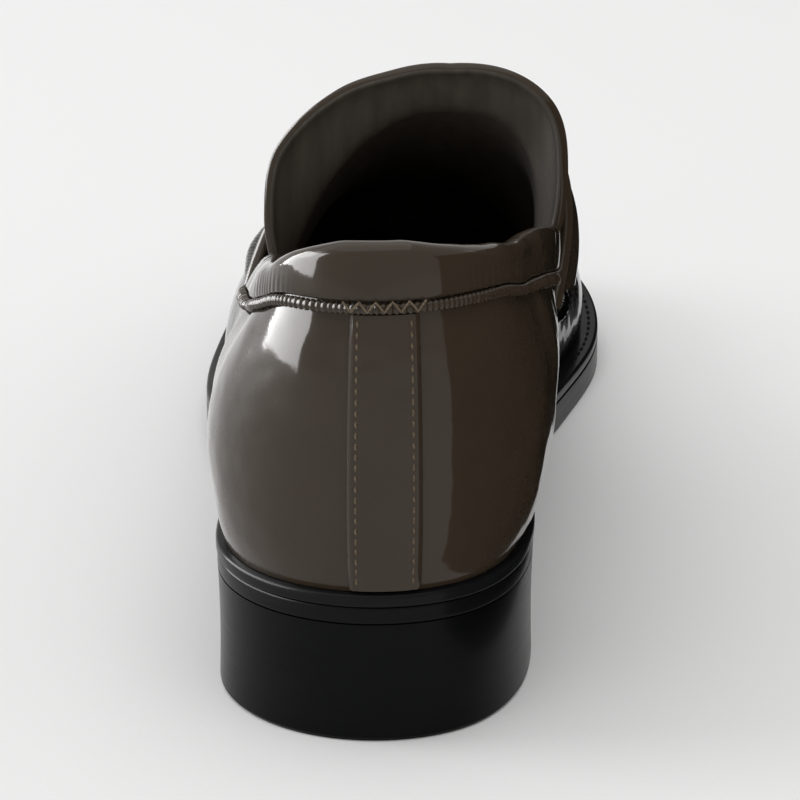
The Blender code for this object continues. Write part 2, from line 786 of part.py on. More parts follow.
def offset_points(surface, side, y, v, distance):
    """Points at a distance along the normal of a surface function (side, y, v)."""
    dy, dv = 0.2 * MM, 0.004
    v_low, v_high = np.maximum(v - dv, 0), np.minimum(v + dv, 1)
    along = surface(side, y + dy, v) - surface(side, y - dy, v)
    up = surface(side, y, v_high) - surface(side, y, v_low)
    normal = np.cross(along, up) * side
    normal = normal / np.linalg.norm(normal, axis=1)[:, None]
    return surface(side, y, v) + normal * np.reshape(distance, (-1, 1))


def meridian_offset(side, y, v, distance):
    """Points at a distance from the upper's face, square to it within each meridian's own plane."""
    dv = 0.004
    rise = last_points(side, y, v + dv) - last_points(side, y, v - dv)
    _, _, direction = meridian_base(side, y)
    outward_rise = np.sum(rise[:, :2] * direction, axis=1)
    normal = np.column_stack([direction * rise[:, 2:], -outward_rise])
    normal = normal / np.linalg.norm(normal, axis=1)[:, None]
    return last_points(side, y, v) + normal * distance


def across_grid(rows, steps_up, offset):
    """A grid that crosses the instep. rows: per row, its low end as a share of the section's height and
    its place along as a function of the climb, 0 at the low edge to 1 at the ridge. offset: distance
    from the last, as a function of side, climb and place."""
    climb = np.linspace(0, 1, steps_up + 1)
    grid = []
    for low, place in rows:
        line = []
        for side in (LATERAL, MEDIAL):
            y = place(climb)
            floor = section_step(y, np.full(len(y), low))
            t = floor + (1 - floor) * climb
            points = offset_points(full_section, side, y, t, offset(side, climb, y))
            line.append(points if side == LATERAL else points[-2::-1])
        grid.append(np.vstack(line))
    return np.array(grid)


def shell_object(name, grid, material, thickness, outside):
    """A sheet given thickness on one side of its grid."""
    mesh = grid_mesh(name, grid)
    work = bmesh.new()
    work.from_mesh(mesh)
    bmesh.ops.recalc_face_normals(work, faces=work.faces)
    middle = min(work.faces, key=lambda face: -face.calc_center_median().z)
    if middle.normal.z < 0:
        bmesh.ops.reverse_faces(work, faces=work.faces)
    work.to_mesh(mesh)
    work.free()
    thing = add_object(name, mesh, material)
    wall = thing.modifiers.new("wall", "SOLIDIFY")
    wall.thickness = thickness
    wall.offset = 1 if outside else -1
    wall.use_even_offset = False
    return thing


def make_saddle(material):
    """Strap across the instep: sewn down at both sides, it bridges the throat over the tongue."""
    rows = []
    for share in np.linspace(0, 1, 8):
        def place(climb, share=share):
            rear = SADDLE_REAR + (SADDLE_REAR_TOP - SADDLE_REAR) * (1 - (1 - climb) ** 3)
            width = SADDLE_WIDTH + (SADDLE_WIDTH_TOP - SADDLE_WIDTH) * climb
            return rear + width * share
        rows.append((SADDLE_LOW_REAR + (SADDLE_LOW_FRONT - SADDLE_LOW_REAR) * share, place))
    grid = across_grid(rows, SADDLE_STEPS, lambda side, climb, y: 0 * y + SADDLE_GAP)
    return shell_object("saddle", grid, material, SADDLE_WALL, True)


def tongue_edge(climb):
    """Place along the shoe of the tongue's free edge: it stands furthest forward at the ridge."""
    return TONGUE_EDGE_LOW + (TONGUE_EDGE_TOP - TONGUE_EDGE_LOW) * climb


def make_tongue(material):
    """Tongue: a curved shell under the vamp that stands up behind the saddle."""
    rows = []
    for share in np.linspace(0, 1, 8):
        def place(climb, share=share):
            rear = tongue_edge(climb)
            return rear + (TONGUE_ROOT - rear) * share**1.4
        rows.append((TONGUE_LOW, place))

    def offset(side, climb, y):
        flare = table_column(TONGUE_FLARE, 1 if side == MEDIAL else 2, climb) * MM
        free = 1 - smooth_step(y - tongue_edge(climb), 0, TONGUE_BEND)
        return -TONGUE_TUCK + (TONGUE_TUCK + flare) * free

    grid = across_grid(rows, TONGUE_STEPS, offset)
    return shell_object("tongue", grid, material, TONGUE_WALL, False)


def collar_stations():
    """Stations from the medial front round the heel to the lateral front, as (side, y)."""
    places = [y for y in half_stations(FEATHER_CURVE) if y < COLLAR_FRONT - 4 * MM]
    places.append(COLLAR_FRONT - 0.4 * MM)
    medial = [(MEDIAL, y) for y in places[:0:-1]]
    return medial + [(LATERAL, y) for y in places]


def tube(name, rings, material):
    """A closed strip of rings in a row, with a flat face at either end."""
    rings = np.asarray(rings)
    count, number = rings.shape[:2]
    faces = []
    for i in range(count - 1):
        for j in range(number):
            after = (j + 1) % number
            lower, upper = i * number, (i + 1) * number
            faces.append((lower + j, lower + after, upper + after, upper + j))
    faces.append(tuple(range(number)))
    faces.append(tuple(range((count - 1) * number, count * number)))
    mesh = bpy.data.meshes.new(name)
    mesh.from_pydata(rings.reshape(-1, 3).tolist(), [], faces)
    face_outwards(mesh)
    thing = add_object(name, mesh, material)
    mesh.set_sharp_from_angle(angle=math.radians(45))
    return thing


def rounded_slab(width, height, foot_radius, top_radius, corner=2):
    """Outline of an upright slab with rounded corners: x from -width/2, y from 0 to height."""
    centres = [
        (width / 2 - foot_radius, foot_radius, foot_radius, -90),
        (width / 2 - top_radius, height - top_radius, top_radius, 0),
        (-width / 2 + top_radius, height - top_radius, top_radius, 90),
        (-width / 2 + foot_radius, foot_radius, foot_radius, 180),
    ]
    points = []
    for x, y, radius, start in centres:
        for angle in np.radians(np.linspace(start, start + 90, corner + 1)):
            points.append((x + radius * math.cos(angle), y + radius * math.sin(angle)))
    return np.array(points)


def meridian_frame(side, y):
    """Outward horizontal direction of one meridian, as a 3-D vector."""
    _, _, direction = meridian_base(side, np.array([y]))
    return np.array([direction[0, 0], direction[0, 1], 0.0])


def make_collar(material):
    """Padded band on the quarter's edge. Its lean changes from the heel to the lateral front."""
    rings = []
    for side, y in collar_stations():
        edge = last_points(side, np.array([y]), np.array([1.0]))[0]
        out = meridian_frame(side, y)
        along = y / SOLE_LENGTH
        lean = table_column(COLLAR_LEAN, 1 if side == MEDIAL else 2, along)
        tall = COLLAR_HEIGHT * table_column(COLLAR_DEPTH, 1 if side == MEDIAL else 2, along)
        up = np.array([0.0, 0.0, 1.0]) - lean * out
        thinning = COLLAR_FRONT_THINNING * smooth_step(y, 0.7 * COLLAR_FRONT, COLLAR_FRONT)
        thick = COLLAR_THICKNESS * (1 - thinning)
        slab = rounded_slab(thick, tall, 0.2 * thick, 0.42 * thick)
        start = edge - out * (UPPER_WALL / 2) + np.array([0.0, 0.0, COLLAR_GAP])
        rings.append([start + out * px + up * pz for px, pz in slab])
    return tube("collar", rings, material)


def make_gathered_seam(material):
    """Ruched seam along the collar's foot: thin at the heel, a fat roll at the fronts."""
    rings = []
    angles = np.linspace(0, 2 * math.pi, 9)[:-1]
    for side, y in collar_stations():
        y = np.array([min(y, COLLAR_FRONT - 0.6 * MM)])
        share = float(smooth_step(y, 0.15 * COLLAR_FRONT, COLLAR_FRONT)[0])
        tall = GATHER_RADIUS_BACK + (GATHER_RADIUS - GATHER_RADIUS_BACK) * share
        deep = 0.75 * tall
        height = topline_height(side, y) - welt_top(y) - FEATHER_GAP
        v = 1 - (tall + 0.1 * MM) / height
        centre = offset_points(last_points, side, y, v, np.array([SEAM_GAP + deep]))[0]
        inner = offset_points(last_points, side, y, v, np.array([0.0]))[0]
        out = (centre - inner) / np.linalg.norm(centre - inner)
        run = np.array([-out[1], out[0], 0.0])
        run = run / np.linalg.norm(run)
        up = np.cross(out, run)
        up = up if up[2] > 0 else -up
        rings.append([centre + out * deep * math.cos(a) + up * tall * math.sin(a) for a in angles])
    return tube("gathered_seam", rings, material)


def make_back_strap(material):
    """Narrow strap down the middle of the heel, from the gathered seam to the seat."""
    lateral, medial = FEATHER_SIDES[LATERAL], FEATHER_SIDES[MEDIAL]
    left = lateral[lateral[:, 1] < STRAP_SIDE_REACH]
    right = medial[medial[:, 1] < STRAP_SIDE_REACH]
    grid = []
    for across in np.linspace(-STRAP_WIDTH / 2, STRAP_WIDTH / 2, 9):
        x = STRAP_SHIFT + across
        run, side = (left, LATERAL) if x < left[0, 0] else (right, MEDIAL)
        order = np.argsort(run[:, 0])
        y = np.interp(x, run[order, 0], run[order, 1])
        v = np.linspace(STRAP_START, STRAP_END, 12)
        grid.append(meridian_offset(side, np.full(len(v), y), v, STRAP_GAP))
    mesh = grid_mesh("back_strap", np.array(grid))
    work = bmesh.new()
    work.from_mesh(mesh)
    bmesh.ops.recalc_face_normals(work, faces=work.faces)
    work.faces.ensure_lookup_table()
    if work.faces[len(work.faces) // 2].normal.y > 0:
        bmesh.ops.reverse_faces(work, faces=work.faces)
    work.to_mesh(mesh)
    work.free()
    thing = add_object("back_strap", mesh, material)
    wall = thing.modifiers.new("wall", "SOLIDIFY")
    wall.thickness = STRAP_WALL
    wall.offset = 1
    wall.use_even_offset = False
    return thing


def make_moc_seam(material):
    """Raised seam round the vamp, from the saddle's medial end round the toe to the lateral end."""
    places = [y for y in half_stations(FEATHER_CURVE) if MOC_START + 3 * MM < y]
    places = [MOC_START] + places
    path = [(LATERAL, y) for y in places] + [(MEDIAL, y) for y in places[-2::-1]]
    angles = np.linspace(0, 2 * math.pi, 9)[:-1]
    centres, outs = [], []
    for side, y in path:
        y = np.array([y])
        column = 1 if side == MEDIAL else 2
        share = table_column(MOC_LINE, column, y / SOLE_LENGTH)
        t = section_step(y, share)
        inner = full_section(side, y, t)[0]
        centre = offset_points(full_section, side, y, t, np.array([MOC_SEAM_GAP + MOC_SEAM_RADIUS]))[0]
        centres.append(centre)
        outs.append((centre - inner) / np.linalg.norm(centre - inner))
    centres, outs = np.array(centres), np.array(outs)
    runs = np.gradient(centres, axis=0)
    rings = []
    for centre, out, run in zip(centres, outs, runs):
        run = run / np.linalg.norm(run)
        up = np.cross(out, run)
        up = up / np.linalg.norm(up)
        rings.append([centre + MOC_SEAM_RADIUS * (out * math.cos(a) + up * math.sin(a)) for a in angles])
    return tube("moc_seam", rings, material)


def centre_on_floor():
    """Moves every piece so that the shoe's box is centred over the origin and stands on the floor."""
    graph = bpy.context.evaluated_depsgraph_get()
    low, high = np.full(3, np.inf), np.full(3, -np.inf)
    for thing in SHOE.objects:
        corners = np.array(thing.evaluated_get(graph).bound_box)
        low, high = np.minimum(low, corners.min(axis=0)), np.maximum(high, corners.max(axis=0))
    shift = Matrix.Translation((-(low[0] + high[0]) / 2, -(low[1] + high[1]) / 2, -low[2]))
    for thing in SHOE.objects:
        thing.data.transform(shift)


def main():
    for thing in list(bpy.data.objects):
        bpy.data.objects.remove(thing)
    black = make_material("sole_black", (0.012, 0.012, 0.013), 0.25)
    taupe = make_material("taupe_patent", (0.055, 0.041, 0.032), 0.15)
    make_outsole(black)
    make_welt(black)
    make_insole(make_material("lining", (0.06, 0.05, 0.04), 0.6))
    make_heel(make_material("heel_black", (0.009, 0.009, 0.010), 0.2))
    make_upper(taupe)
    make_tongue(taupe)
    make_saddle(taupe)
    make_collar(taupe)
    make_gathered_seam(taupe)
    make_back_strap(taupe)
    make_moc_seam(make_material("black_patent", (0.006, 0.006, 0.006), 0.1))
    centre_on_floor()


SHOE = bpy.data.collections.new("loafer_pump")
bpy.context.scene.collection.children.link(SHOE)
main()
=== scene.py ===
# %% [markdown]
# # A loafer pump in patent leather
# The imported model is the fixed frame: it says where each piece is and how large. This file dresses
# it. Every visible piece is made again on the same formulas with far more points, because patent
# leather is a mirror and shows each flat facet. Then come the fine things: gathers, stitches and
# creases. Sizes are in metres, written as millimetres times MM.

import math

import bmesh
import bpy
import numpy as np
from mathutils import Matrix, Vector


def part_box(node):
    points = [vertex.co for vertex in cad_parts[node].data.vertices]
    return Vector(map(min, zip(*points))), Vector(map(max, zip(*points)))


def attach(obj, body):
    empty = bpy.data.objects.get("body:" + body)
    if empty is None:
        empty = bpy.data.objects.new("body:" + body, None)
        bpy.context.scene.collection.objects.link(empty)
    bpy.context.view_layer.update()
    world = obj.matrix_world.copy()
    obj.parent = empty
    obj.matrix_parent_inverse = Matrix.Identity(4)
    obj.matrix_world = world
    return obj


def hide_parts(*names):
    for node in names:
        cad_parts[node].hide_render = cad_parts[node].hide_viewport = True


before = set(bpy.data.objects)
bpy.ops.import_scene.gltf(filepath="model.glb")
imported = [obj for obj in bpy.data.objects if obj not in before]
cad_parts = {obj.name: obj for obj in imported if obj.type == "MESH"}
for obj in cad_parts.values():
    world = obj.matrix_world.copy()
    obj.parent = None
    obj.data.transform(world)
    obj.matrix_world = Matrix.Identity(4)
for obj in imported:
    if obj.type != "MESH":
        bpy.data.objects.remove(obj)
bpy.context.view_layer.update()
MM = 0.001

# %% [markdown]
# ## Camera
# The photograph looks at the back of the shoe from a little above, with a long lens. A long lens
# flattens the heel against the toe, so the distance matters as much as the direction. The place was
# worked out from the outlines of the shoe, and the camera is turned, not shifted, to centre it.

# %% The camera
CAMERA_PLACE = (0.0215, -0.7496, 0.2941)
CAMERA_HEADING = -1.63
CAMERA_DOWN = 20.22
LENS = 162.8
SENSOR_WIDTH = 36
NEAREST_SEEN = 0.05


def make_camera():
    """A camera turned by a heading from +Y and tipped down, both in degrees."""
    camera = bpy.data.objects.new("camera", bpy.data.cameras.new("camera"))
    camera.data.lens = LENS
    camera.data.sensor_width = SENSOR_WIDTH
    camera.data.clip_start = NEAREST_SEEN
    camera.location = CAMERA_PLACE
    camera.rotation_euler = (math.radians(90 - CAMERA_DOWN), 0, math.radians(-CAMERA_HEADING))
    bpy.context.scene.collection.objects.link(camera)
    bpy.context.scene.camera = camera
    return camera


make_camera()
print("camera lens", LENS, "mm")

# %% [markdown]
# ## Colour and node helpers
# Colours are written as the hex codes of a paint program, which are stored with a curve. Blender
# works in linear light, so one function undoes the curve. A second one adds any node to a material.

# %% Helpers for materials


def linear(code):
    """An sRGB hex code such as '#40372F' as linear red, green, blue and alpha: the darkest values
    lie on a straight line, the others on a power of 2.4."""
    values = np.array([int(code[i : i + 2], 16) for i in (1, 3, 5)]) / 255
    low = values / 12.92
    high = ((values + 0.055) / 1.055) ** 2.4
    return (*np.where(values <= 0.04045, low, high).tolist(), 1.0)


def add(tree, kind, settings=None, links=None):
    """Adds a node. settings: properties and fixed inputs. links: input name to an output socket."""
    node = tree.nodes.new(kind)
    for key, value in (settings or {}).items():
        if isinstance(key, str) and hasattr(node, key):
            setattr(node, key, value)
        else:
            node.inputs[key].default_value = value
    for key, socket in (links or {}).items():
        tree.links.new(socket, node.inputs[key])
    return node


def new_material(name):
    """An empty material, its tree and shader, and the object's own coordinates for its patterns."""
    material = bpy.data.materials.new(name)
    material.use_nodes = True
    tree = material.node_tree
    place = add(tree, "ShaderNodeTexCoord")
    return material, tree, tree.nodes["Principled BSDF"], {"Vector": place.outputs["Object"]}


def finish(tree, shader, settings, links):
    """Sets the shader's fixed inputs and links the others to their patterns."""
    for key, value in settings.items():
        shader.inputs[key].default_value = value
    for key, socket in links.items():
        tree.links.new(socket, shader.inputs[key])


# %% [markdown]
# ## Floor and card
# A pale floor runs out of the picture on every side. At the right stands a black card, as a
# photographer sets one to darken a mirror-like flank. It is seen in reflections alone: the camera
# doesn't see it and it casts no shadow. The real one would have to stand outside the picture, and
# would then be too small in the leather.

# %% Floor and card
FLOOR_HALF = 3.0
FLOOR = [
    (-FLOOR_HALF, -FLOOR_HALF, 0), (FLOOR_HALF, -FLOOR_HALF, 0),
    (FLOOR_HALF, FLOOR_HALF, 0), (-FLOOR_HALF, FLOOR_HALF, 0),
]
CARD = [(0.050, -0.16, 0.0), (0.076, 0.60, 0.0), (0.086, 0.60, 0.12), (0.060, -0.16, 0.12)]
PAPER_FIBRE = MM / 0.9
CARD_FLOCK = 25 * MM


def matt_sheet(name, dark, light, grain, detail, roughness):
    """A dull material with no gloss at all: a noise as wide as its grain mixes two near tones."""
    material, tree, shader, where = new_material(name)
    fibres = add(tree, "ShaderNodeTexNoise", {"Scale": 1 / grain, "Detail": detail}, where)
    tone = add(
        tree,
        "ShaderNodeMix",
        {"data_type": "RGBA", 6: linear(dark), 7: linear(light)},
        {0: fibres.outputs["Fac"]},
    )
    finish(
        tree,
        shader,
        {"Roughness": roughness, "Specular IOR Level": 0.0},
        {"Base Color": tone.outputs[2]},
    )
    return material


def stage_sheet(name, corners, material):
    """One flat face on four corners. It belongs to the studio, not to the shoe."""
    mesh = bpy.data.meshes.new(name)
    mesh.from_pydata(corners, [], [(0, 1, 2, 3)])
    mesh.materials.append(material)
    sheet = bpy.data.objects.new(name, mesh)
    bpy.context.scene.collection.objects.link(sheet)
    return sheet


# Studio paper scatters all light evenly, so it stays white beside the mirror of the shoe.
paper = matt_sheet("matt_studio_paper", "#F0F0F1", "#F3F3F4", PAPER_FIBRE, 3.0, 0.95)
stage_sheet("floor", FLOOR, paper)
# Flock swallows light, so the card reads as black even where the lamps strike it.
flock = matt_sheet("flocked_card_black", "#0A0A0A", "#15130F", CARD_FLOCK, 2.0, 0.9)
card = stage_sheet("flag_black_card", CARD, flock)
card.visible_camera = card.visible_shadow = card.visible_diffuse = False
print("floor", 2 * FLOOR_HALF, "m wide; card in reflections alone")

# %% [markdown]
# ## Light
# One large soft light hangs above and a smaller one at the left. The bright patch on the left flank
# is a window that the leather mirrors. Here the window lights no matt surface, only mirrors, so that
# the floor beside the shoe doesn't burn out. A weak strip at the right gives the inner flank its
# edge. The sky round the studio fills the shadows. The view transform is Standard, because the one
# that Blender starts with greys the whites and lifts the blacks.

# %% Lights and world
LIGHTS = [
    # name, watts, place, aim, width, height, seen in reflections alone
    ("light_above", 12.5, (-0.25, -0.05, 1.7), (0.0, 0.0, 0.0), 2.4, 2.2, False),
    ("light_left", 7.5, (-1.60, 0.05, 1.05), (0.0, 0.0, 0.05), 0.80, 0.80, False),
    ("light_window", 54.0, (-1.10, 0.03, 0.42), (0.0, 0.0, 0.20), 1.54, 0.84, True),
    ("light_right", 0.2, (0.95, 0.60, 0.50), (0.0, 0.0, 0.05), 0.15, 0.7, False),
]
SKY = "#F5F4F2"
SKY_STRENGTH = 0.68


def make_lights():
    """Flat lamps. A lamp shines down its own -Z, so it is tipped by the angle from straight down to
    its aim, then turned by the aim's heading."""
    for name, watts, place, aim, width, height, glints_only in LIGHTS:
        light = bpy.data.lights.new(name, "AREA")
        light.shape = "RECTANGLE"
        light.size, light.size_y = width, height
        light.energy = watts
        lamp = bpy.data.objects.new(name, light)
        lamp.location = place
        lamp.visible_diffuse = not glints_only
        gap = np.array(aim) - np.array(place)
        tip = math.atan2(math.hypot(gap[0], gap[1]), -gap[2])
        lamp.rotation_euler = (tip, 0, math.atan2(gap[1], gap[0]) - math.pi / 2)
        bpy.context.scene.collection.objects.link(lamp)


def make_world():
    """An even pale sky all round."""
    world = bpy.data.worlds.new("studio")
    bpy.context.scene.world = world
    world.use_nodes = True
    sky = world.node_tree.nodes["Background"]
    sky.inputs["Color"].default_value = linear(SKY)
    sky.inputs["Strength"].default_value = SKY_STRENGTH


bpy.context.scene.view_settings.view_transform = "Standard"
make_lights()
make_world()
print("lights:", ", ".join(row[0] for row in LIGHTS))

# %% [markdown]
# ## Curves from short tables
# A shoe has few straight lines. Its outline, its profile and its sections are given as short tables
# of shares of the length or width, and two helpers draw smooth curves through them: one for values
# along the shoe, one for a closed outline.

# %% Curve helpers


def hermite(t, start, end, leaving, arriving):
    """Cubic from start to end as t goes from 0 to 1, with given slopes where it leaves and arrives."""
    return (
        (2 * t**3 - 3 * t**2 + 1) * start
        + (t**3 - 2 * t**2 + t) * leaving
        + (3 * t**2 - 2 * t**3) * end
        + (t**3 - t**2) * arriving
    )


def table_column(rows, column, along):
    """Smooth curve through a table's column: cubic pieces whose slope is the harmonic mean."""
    places = np.array([row[0] for row in rows])
    values = np.array([row[column] for row in rows])
    steps = np.diff(places)
    slopes = np.diff(values) / steps
    tangents = np.zeros(len(places))
    same_way = slopes[:-1] * slopes[1:] > 0
    harmonic = 2 * slopes[:-1] * slopes[1:] / np.where(same_way, slopes[:-1] + slopes[1:], 1)
    tangents[1:-1] = np.where(same_way, harmonic, 0)
    tangents[0], tangents[-1] = slopes[0], slopes[-1]
    along = np.clip(np.asarray(along, float), places[0], places[-1])
    index = np.clip(np.searchsorted(places, along, side="right") - 1, 0, len(places) - 2)
    step = steps[index]
    t = (along - places[index]) / step
    slopes = step * tangents[index], step * tangents[index + 1]
    return hermite(t, values[index], values[index + 1], *slopes)


def closed_spline(points, count):
    """A closed curve with even curvature through the points: cubic pieces over chord length."""
    points = np.asarray(points, float)
    number = len(points)
    chords = np.linalg.norm(np.roll(points, -1, axis=0) - points, axis=1)
    before = np.roll(chords, 1)
    system = np.diag(2 * (before + chords))
    index = np.arange(number)
    system[index, index - 1] += chords
    system[index, (index + 1) % number] += before
    ahead = (np.roll(points, -1, axis=0) - points) / chords[:, None]
    behind = np.roll(ahead, 1, axis=0)
    tangents = np.linalg.solve(system, 3 * (chords[:, None] * behind + before[:, None] * ahead))
    t = (np.arange(count // number) / (count // number))[None, :, None]
    after = np.roll(points, -1, axis=0)
    leaving, arriving = chords[:, None] * tangents, chords[:, None] * np.roll(tangents, -1, axis=0)
    pieces = hermite(t, points[:, None], after[:, None], leaving[:, None], arriving[:, None])
    return pieces.reshape(-1, 2)


def smooth_step(value, start, end):
    """0 before start, 1 after end, and an even climb between them."""
    t = np.clip((np.asarray(value, float) - start) / (end - start), 0, 1)
    return t * t * (3 - 2 * t)


def bump(value, centre, width):
    """A bell curve: 1 at the centre, fading over the width."""
    return np.exp(-(((np.asarray(value, float) - centre) / width) ** 2))


def path_length(path):
    """Distance along a path at each of its points: the running sum of its steps."""
    return np.concatenate([[0], np.cumsum(np.linalg.norm(np.diff(path, axis=0), axis=1))])


def unit(vectors):
    """Each vector at length one."""
    return vectors / np.maximum(np.linalg.norm(vectors, axis=-1, keepdims=True), 1e-12)


print("half way up a soft step:", smooth_step(0.5, 0, 1))


# %% [markdown]
# ## The sole's outline and heights
# Seen from above the sole is one closed curve, widest at the two toe joints and hollow at the inner
# arch. Seen from the side it steps down from the heel seat to the forepart and springs up at
# the toe. Places along it are shares of its length, so the whole shoe follows one driving size.

# %% Outline and profile
SOLE_LENGTH = 275 * MM
BALL_WIDTH = 90.5 * MM
SEAT_HEIGHT = 29.7 * MM
FOREPART_HEIGHT = 9 * MM
TOE_SPRING = 8 * MM
WELT_THICKNESS = 2.5 * MM
HEEL_LEDGE = 1.6 * MM
FOREPART_LEDGE = 4.2 * MM
LEDGE_START, LEDGE_END = 0.25, 0.60
MEDIAL, LATERAL = 1, -1
SOLE_POINTS = 2600

SOLE_OUTLINE = [
    # along, across (shares of the length and of the ball width, medial positive)
    (0.000, 0.000), (0.026, -0.220), (0.075, -0.322), (0.160, -0.345), (0.305, -0.350),
    (0.445, -0.390), (0.555, -0.465), (0.655, -0.492), (0.764, -0.472), (0.860, -0.422),
    (0.935, -0.315), (0.982, -0.155), (1.000, 0.035), (0.982, 0.225), (0.940, 0.375),
    (0.880, 0.475), (0.800, 0.518), (0.738, 0.508), (0.680, 0.470), (0.590, 0.396),
    (0.500, 0.335), (0.400, 0.306), (0.280, 0.316), (0.160, 0.336), (0.075, 0.300),
    (0.026, 0.208),
]
SOLE_PROFILE = [
    # along, share of the drop from the seat still to come, share of the toe spring
    (0.00, 1.00, 0.00), (0.15, 0.98, 0.00), (0.26, 0.88, 0.00), (0.38, 0.58, 0.00),
    (0.50, 0.22, 0.00), (0.60, 0.03, 0.00), (0.70, 0.00, 0.00), (0.80, 0.00, 0.14),
    (0.90, 0.00, 0.50), (1.00, 0.00, 1.00),
]
print("sole", round(SOLE_LENGTH / MM, 1), "mm long and", round(BALL_WIDTH / MM, 1), "mm at the ball")

# %% The sole's curve in the frame
SOLE_CURVE = closed_spline(
    [(across * BALL_WIDTH, along * SOLE_LENGTH) for along, across in SOLE_OUTLINE], SOLE_POINTS
)
# The frame centres the shoe over the origin. The welt's edge lies on the sole's curve, so the two
# boxes give the shift between the tables' own places and the frame's.
WELT_BOX = np.array(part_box("welt"))
FRAME_SHIFT = np.append(
    WELT_BOX.mean(axis=0)[:2] - (SOLE_CURVE.min(axis=0) + SOLE_CURVE.max(axis=0)) / 2, 0
)


def outward(ring):
    """Unit normals of a flat ring that runs from the heel up the lateral side and back."""
    run = np.roll(ring, -1, axis=0) - np.roll(ring, 1, axis=0)
    return unit(np.stack([-run[:, 1], run[:, 0]], axis=1))


def ledge_width(y):
    """How far the welt stands out beyond the upper: narrow at the heel, wide at the forepart."""
    share = smooth_step(y / SOLE_LENGTH, LEDGE_START, LEDGE_END)
    return HEEL_LEDGE + (FOREPART_LEDGE - HEEL_LEDGE) * share


def curve_sides(curve):
    """A closed curve as two runs from heel back to toe tip, lateral and medial."""
    run = np.roll(curve, -int(np.argmin(curve[:, 1])), axis=0)
    tip = int(np.argmax(run[:, 1]))
    return run[: tip + 1], np.vstack([run[tip:], run[:1]])[::-1]


def half_stations(curve, count):
    """Places along a curve, close together at heel and toe so that both ends stay round."""
    low, high = curve[:, 1].min(), curve[:, 1].max()
    return low + (high - low) * (1 - np.cos(np.linspace(0, math.pi, count + 1))) / 2


def paired_ring(curve, count):
    """A closed ring on a curve whose two sides have their points at the same places along."""
    lateral, medial = curve_sides(curve)
    places = half_stations(curve, count)
    left = np.stack([np.interp(places, lateral[:, 1], lateral[:, 0]), places], axis=1)
    right = np.stack([np.interp(places, medial[:, 1], medial[:, 0]), places], axis=1)
    return np.vstack([left, right[-2:0:-1]])


def inset_curve(extra):
    """The sole's curve moved in to the feather line, and further in by extra."""
    return SOLE_CURVE - outward(SOLE_CURVE) * (ledge_width(SOLE_CURVE[:, 1]) + extra)[:, None]


def welt_top(y):
    """Height of the welt's upper face: seat, shank, forepart and toe spring."""
    along = np.asarray(y, float) / SOLE_LENGTH
    drop = (SEAT_HEIGHT - FOREPART_HEIGHT) * table_column(SOLE_PROFILE, 1, along)
    return FOREPART_HEIGHT + drop + TOE_SPRING * table_column(SOLE_PROFILE, 2, along)


FEATHER_CURVE = inset_curve(0.0)
FEATHER_SIDES = dict(zip((LATERAL, MEDIAL), curve_sides(FEATHER_CURVE)))
print("sole curve:", len(SOLE_CURVE), "points; shift in mm", (FRAME_SHIFT / MM).round(2))

# %% [markdown]
# ## The last
# Shoemakers pull the upper over a last, a wooden foot. A last could be sculpted, or pulled out of a
# box with a modifier. Here it is a formula, so that every piece lies on one surface: at each place
# along the shoe a meridian climbs from the feather line, where upper meets welt, to the ridge or the
# topline. Each meridian is a cubic curve whose handles come from a table. Round the heel and the toe
# the meridians fan out from a point, so that both ends are round.

# %% Tables of the last
UPPER_WALL = 1.6 * MM
FEATHER_GAP = 0.15 * MM
BACK_HEIGHT = 56 * MM
RIDGE_TOP = 101 * MM
HEEL_FAN, TOE_FAN = 0.135, 0.865
HEEL_SHIFT = 1.5 * MM
QUARTER_END, VAMP_START = 0.25, 0.36
QUARTER_FOOT, QUARTER_SHOULDER = 0.16, 0.62
COLLAR_FRONT = 98 * MM
THROAT = 132 * MM
THROAT_CURVE = 1.8

RIDGE = [
    # along, height share, across
    (0.290, 1.150, 0.140), (0.335, 1.080, 0.140), (0.378, 1.000, 0.138), (0.429, 0.910, 0.118),
    (0.465, 0.845, 0.098), (0.516, 0.755, 0.075), (0.575, 0.670, 0.055), (0.633, 0.595, 0.036),
    (0.702, 0.520, 0.020), (0.778, 0.452, 0.010), (0.865, 0.400, 0.006),
]
VAMP_SECTIONS = [
    # along, medial wall, lateral wall, handle height, medial roof, lateral roof
    (0.290, 0.110, 0.025, 0.50, 0.215, -0.150), (0.378, 0.130, 0.018, 0.50, 0.218, -0.172),
    (0.429, 0.149, 0.015, 0.50, 0.205, -0.190), (0.473, 0.185, 0.000, 0.50, 0.215, -0.210),
    (0.545, 0.140, 0.000, 0.49, 0.100, -0.210), (0.650, 0.065, 0.030, 0.46, -0.060, -0.175),
    (0.760, 0.040, 0.040, 0.50, -0.140, -0.160), (0.880, 0.030, 0.035, 0.60, -0.130, -0.140),
    (1.000, 0.030, 0.030, 0.68, -0.100, -0.100),
]
QUARTER_SECTIONS = [
    # along, medial belly, lateral belly, medial shoulder, lateral shoulder, medial top, lateral top
    (0.000, 0.030, 0.030, 0.022, 0.022, -0.026, -0.026),
    (0.060, 0.040, 0.034, 0.048, 0.048, -0.030, -0.078),
    (0.138, 0.056, 0.038, 0.092, 0.090, -0.018, -0.088),
    (0.180, 0.060, 0.032, 0.118, 0.100, 0.010, -0.062),
    (0.255, 0.060, 0.036, 0.118, 0.060, 0.055, -0.040),
    (0.327, 0.065, 0.030, 0.105, 0.022, 0.080, -0.026),
    (0.380, 0.070, 0.030, 0.105, 0.015, 0.085, -0.026),
]
TOPLINE = [
    # along, medial height, lateral height (shares of the height at the back)
    (0.000, 1.000, 1.000), (0.020, 0.997, 0.985), (0.062, 0.970, 0.905), (0.115, 0.895, 0.820),
    (0.182, 0.820, 0.725), (0.255, 0.716, 0.635), (0.327, 0.611, 0.535), (0.372, 0.545, 0.480),
]
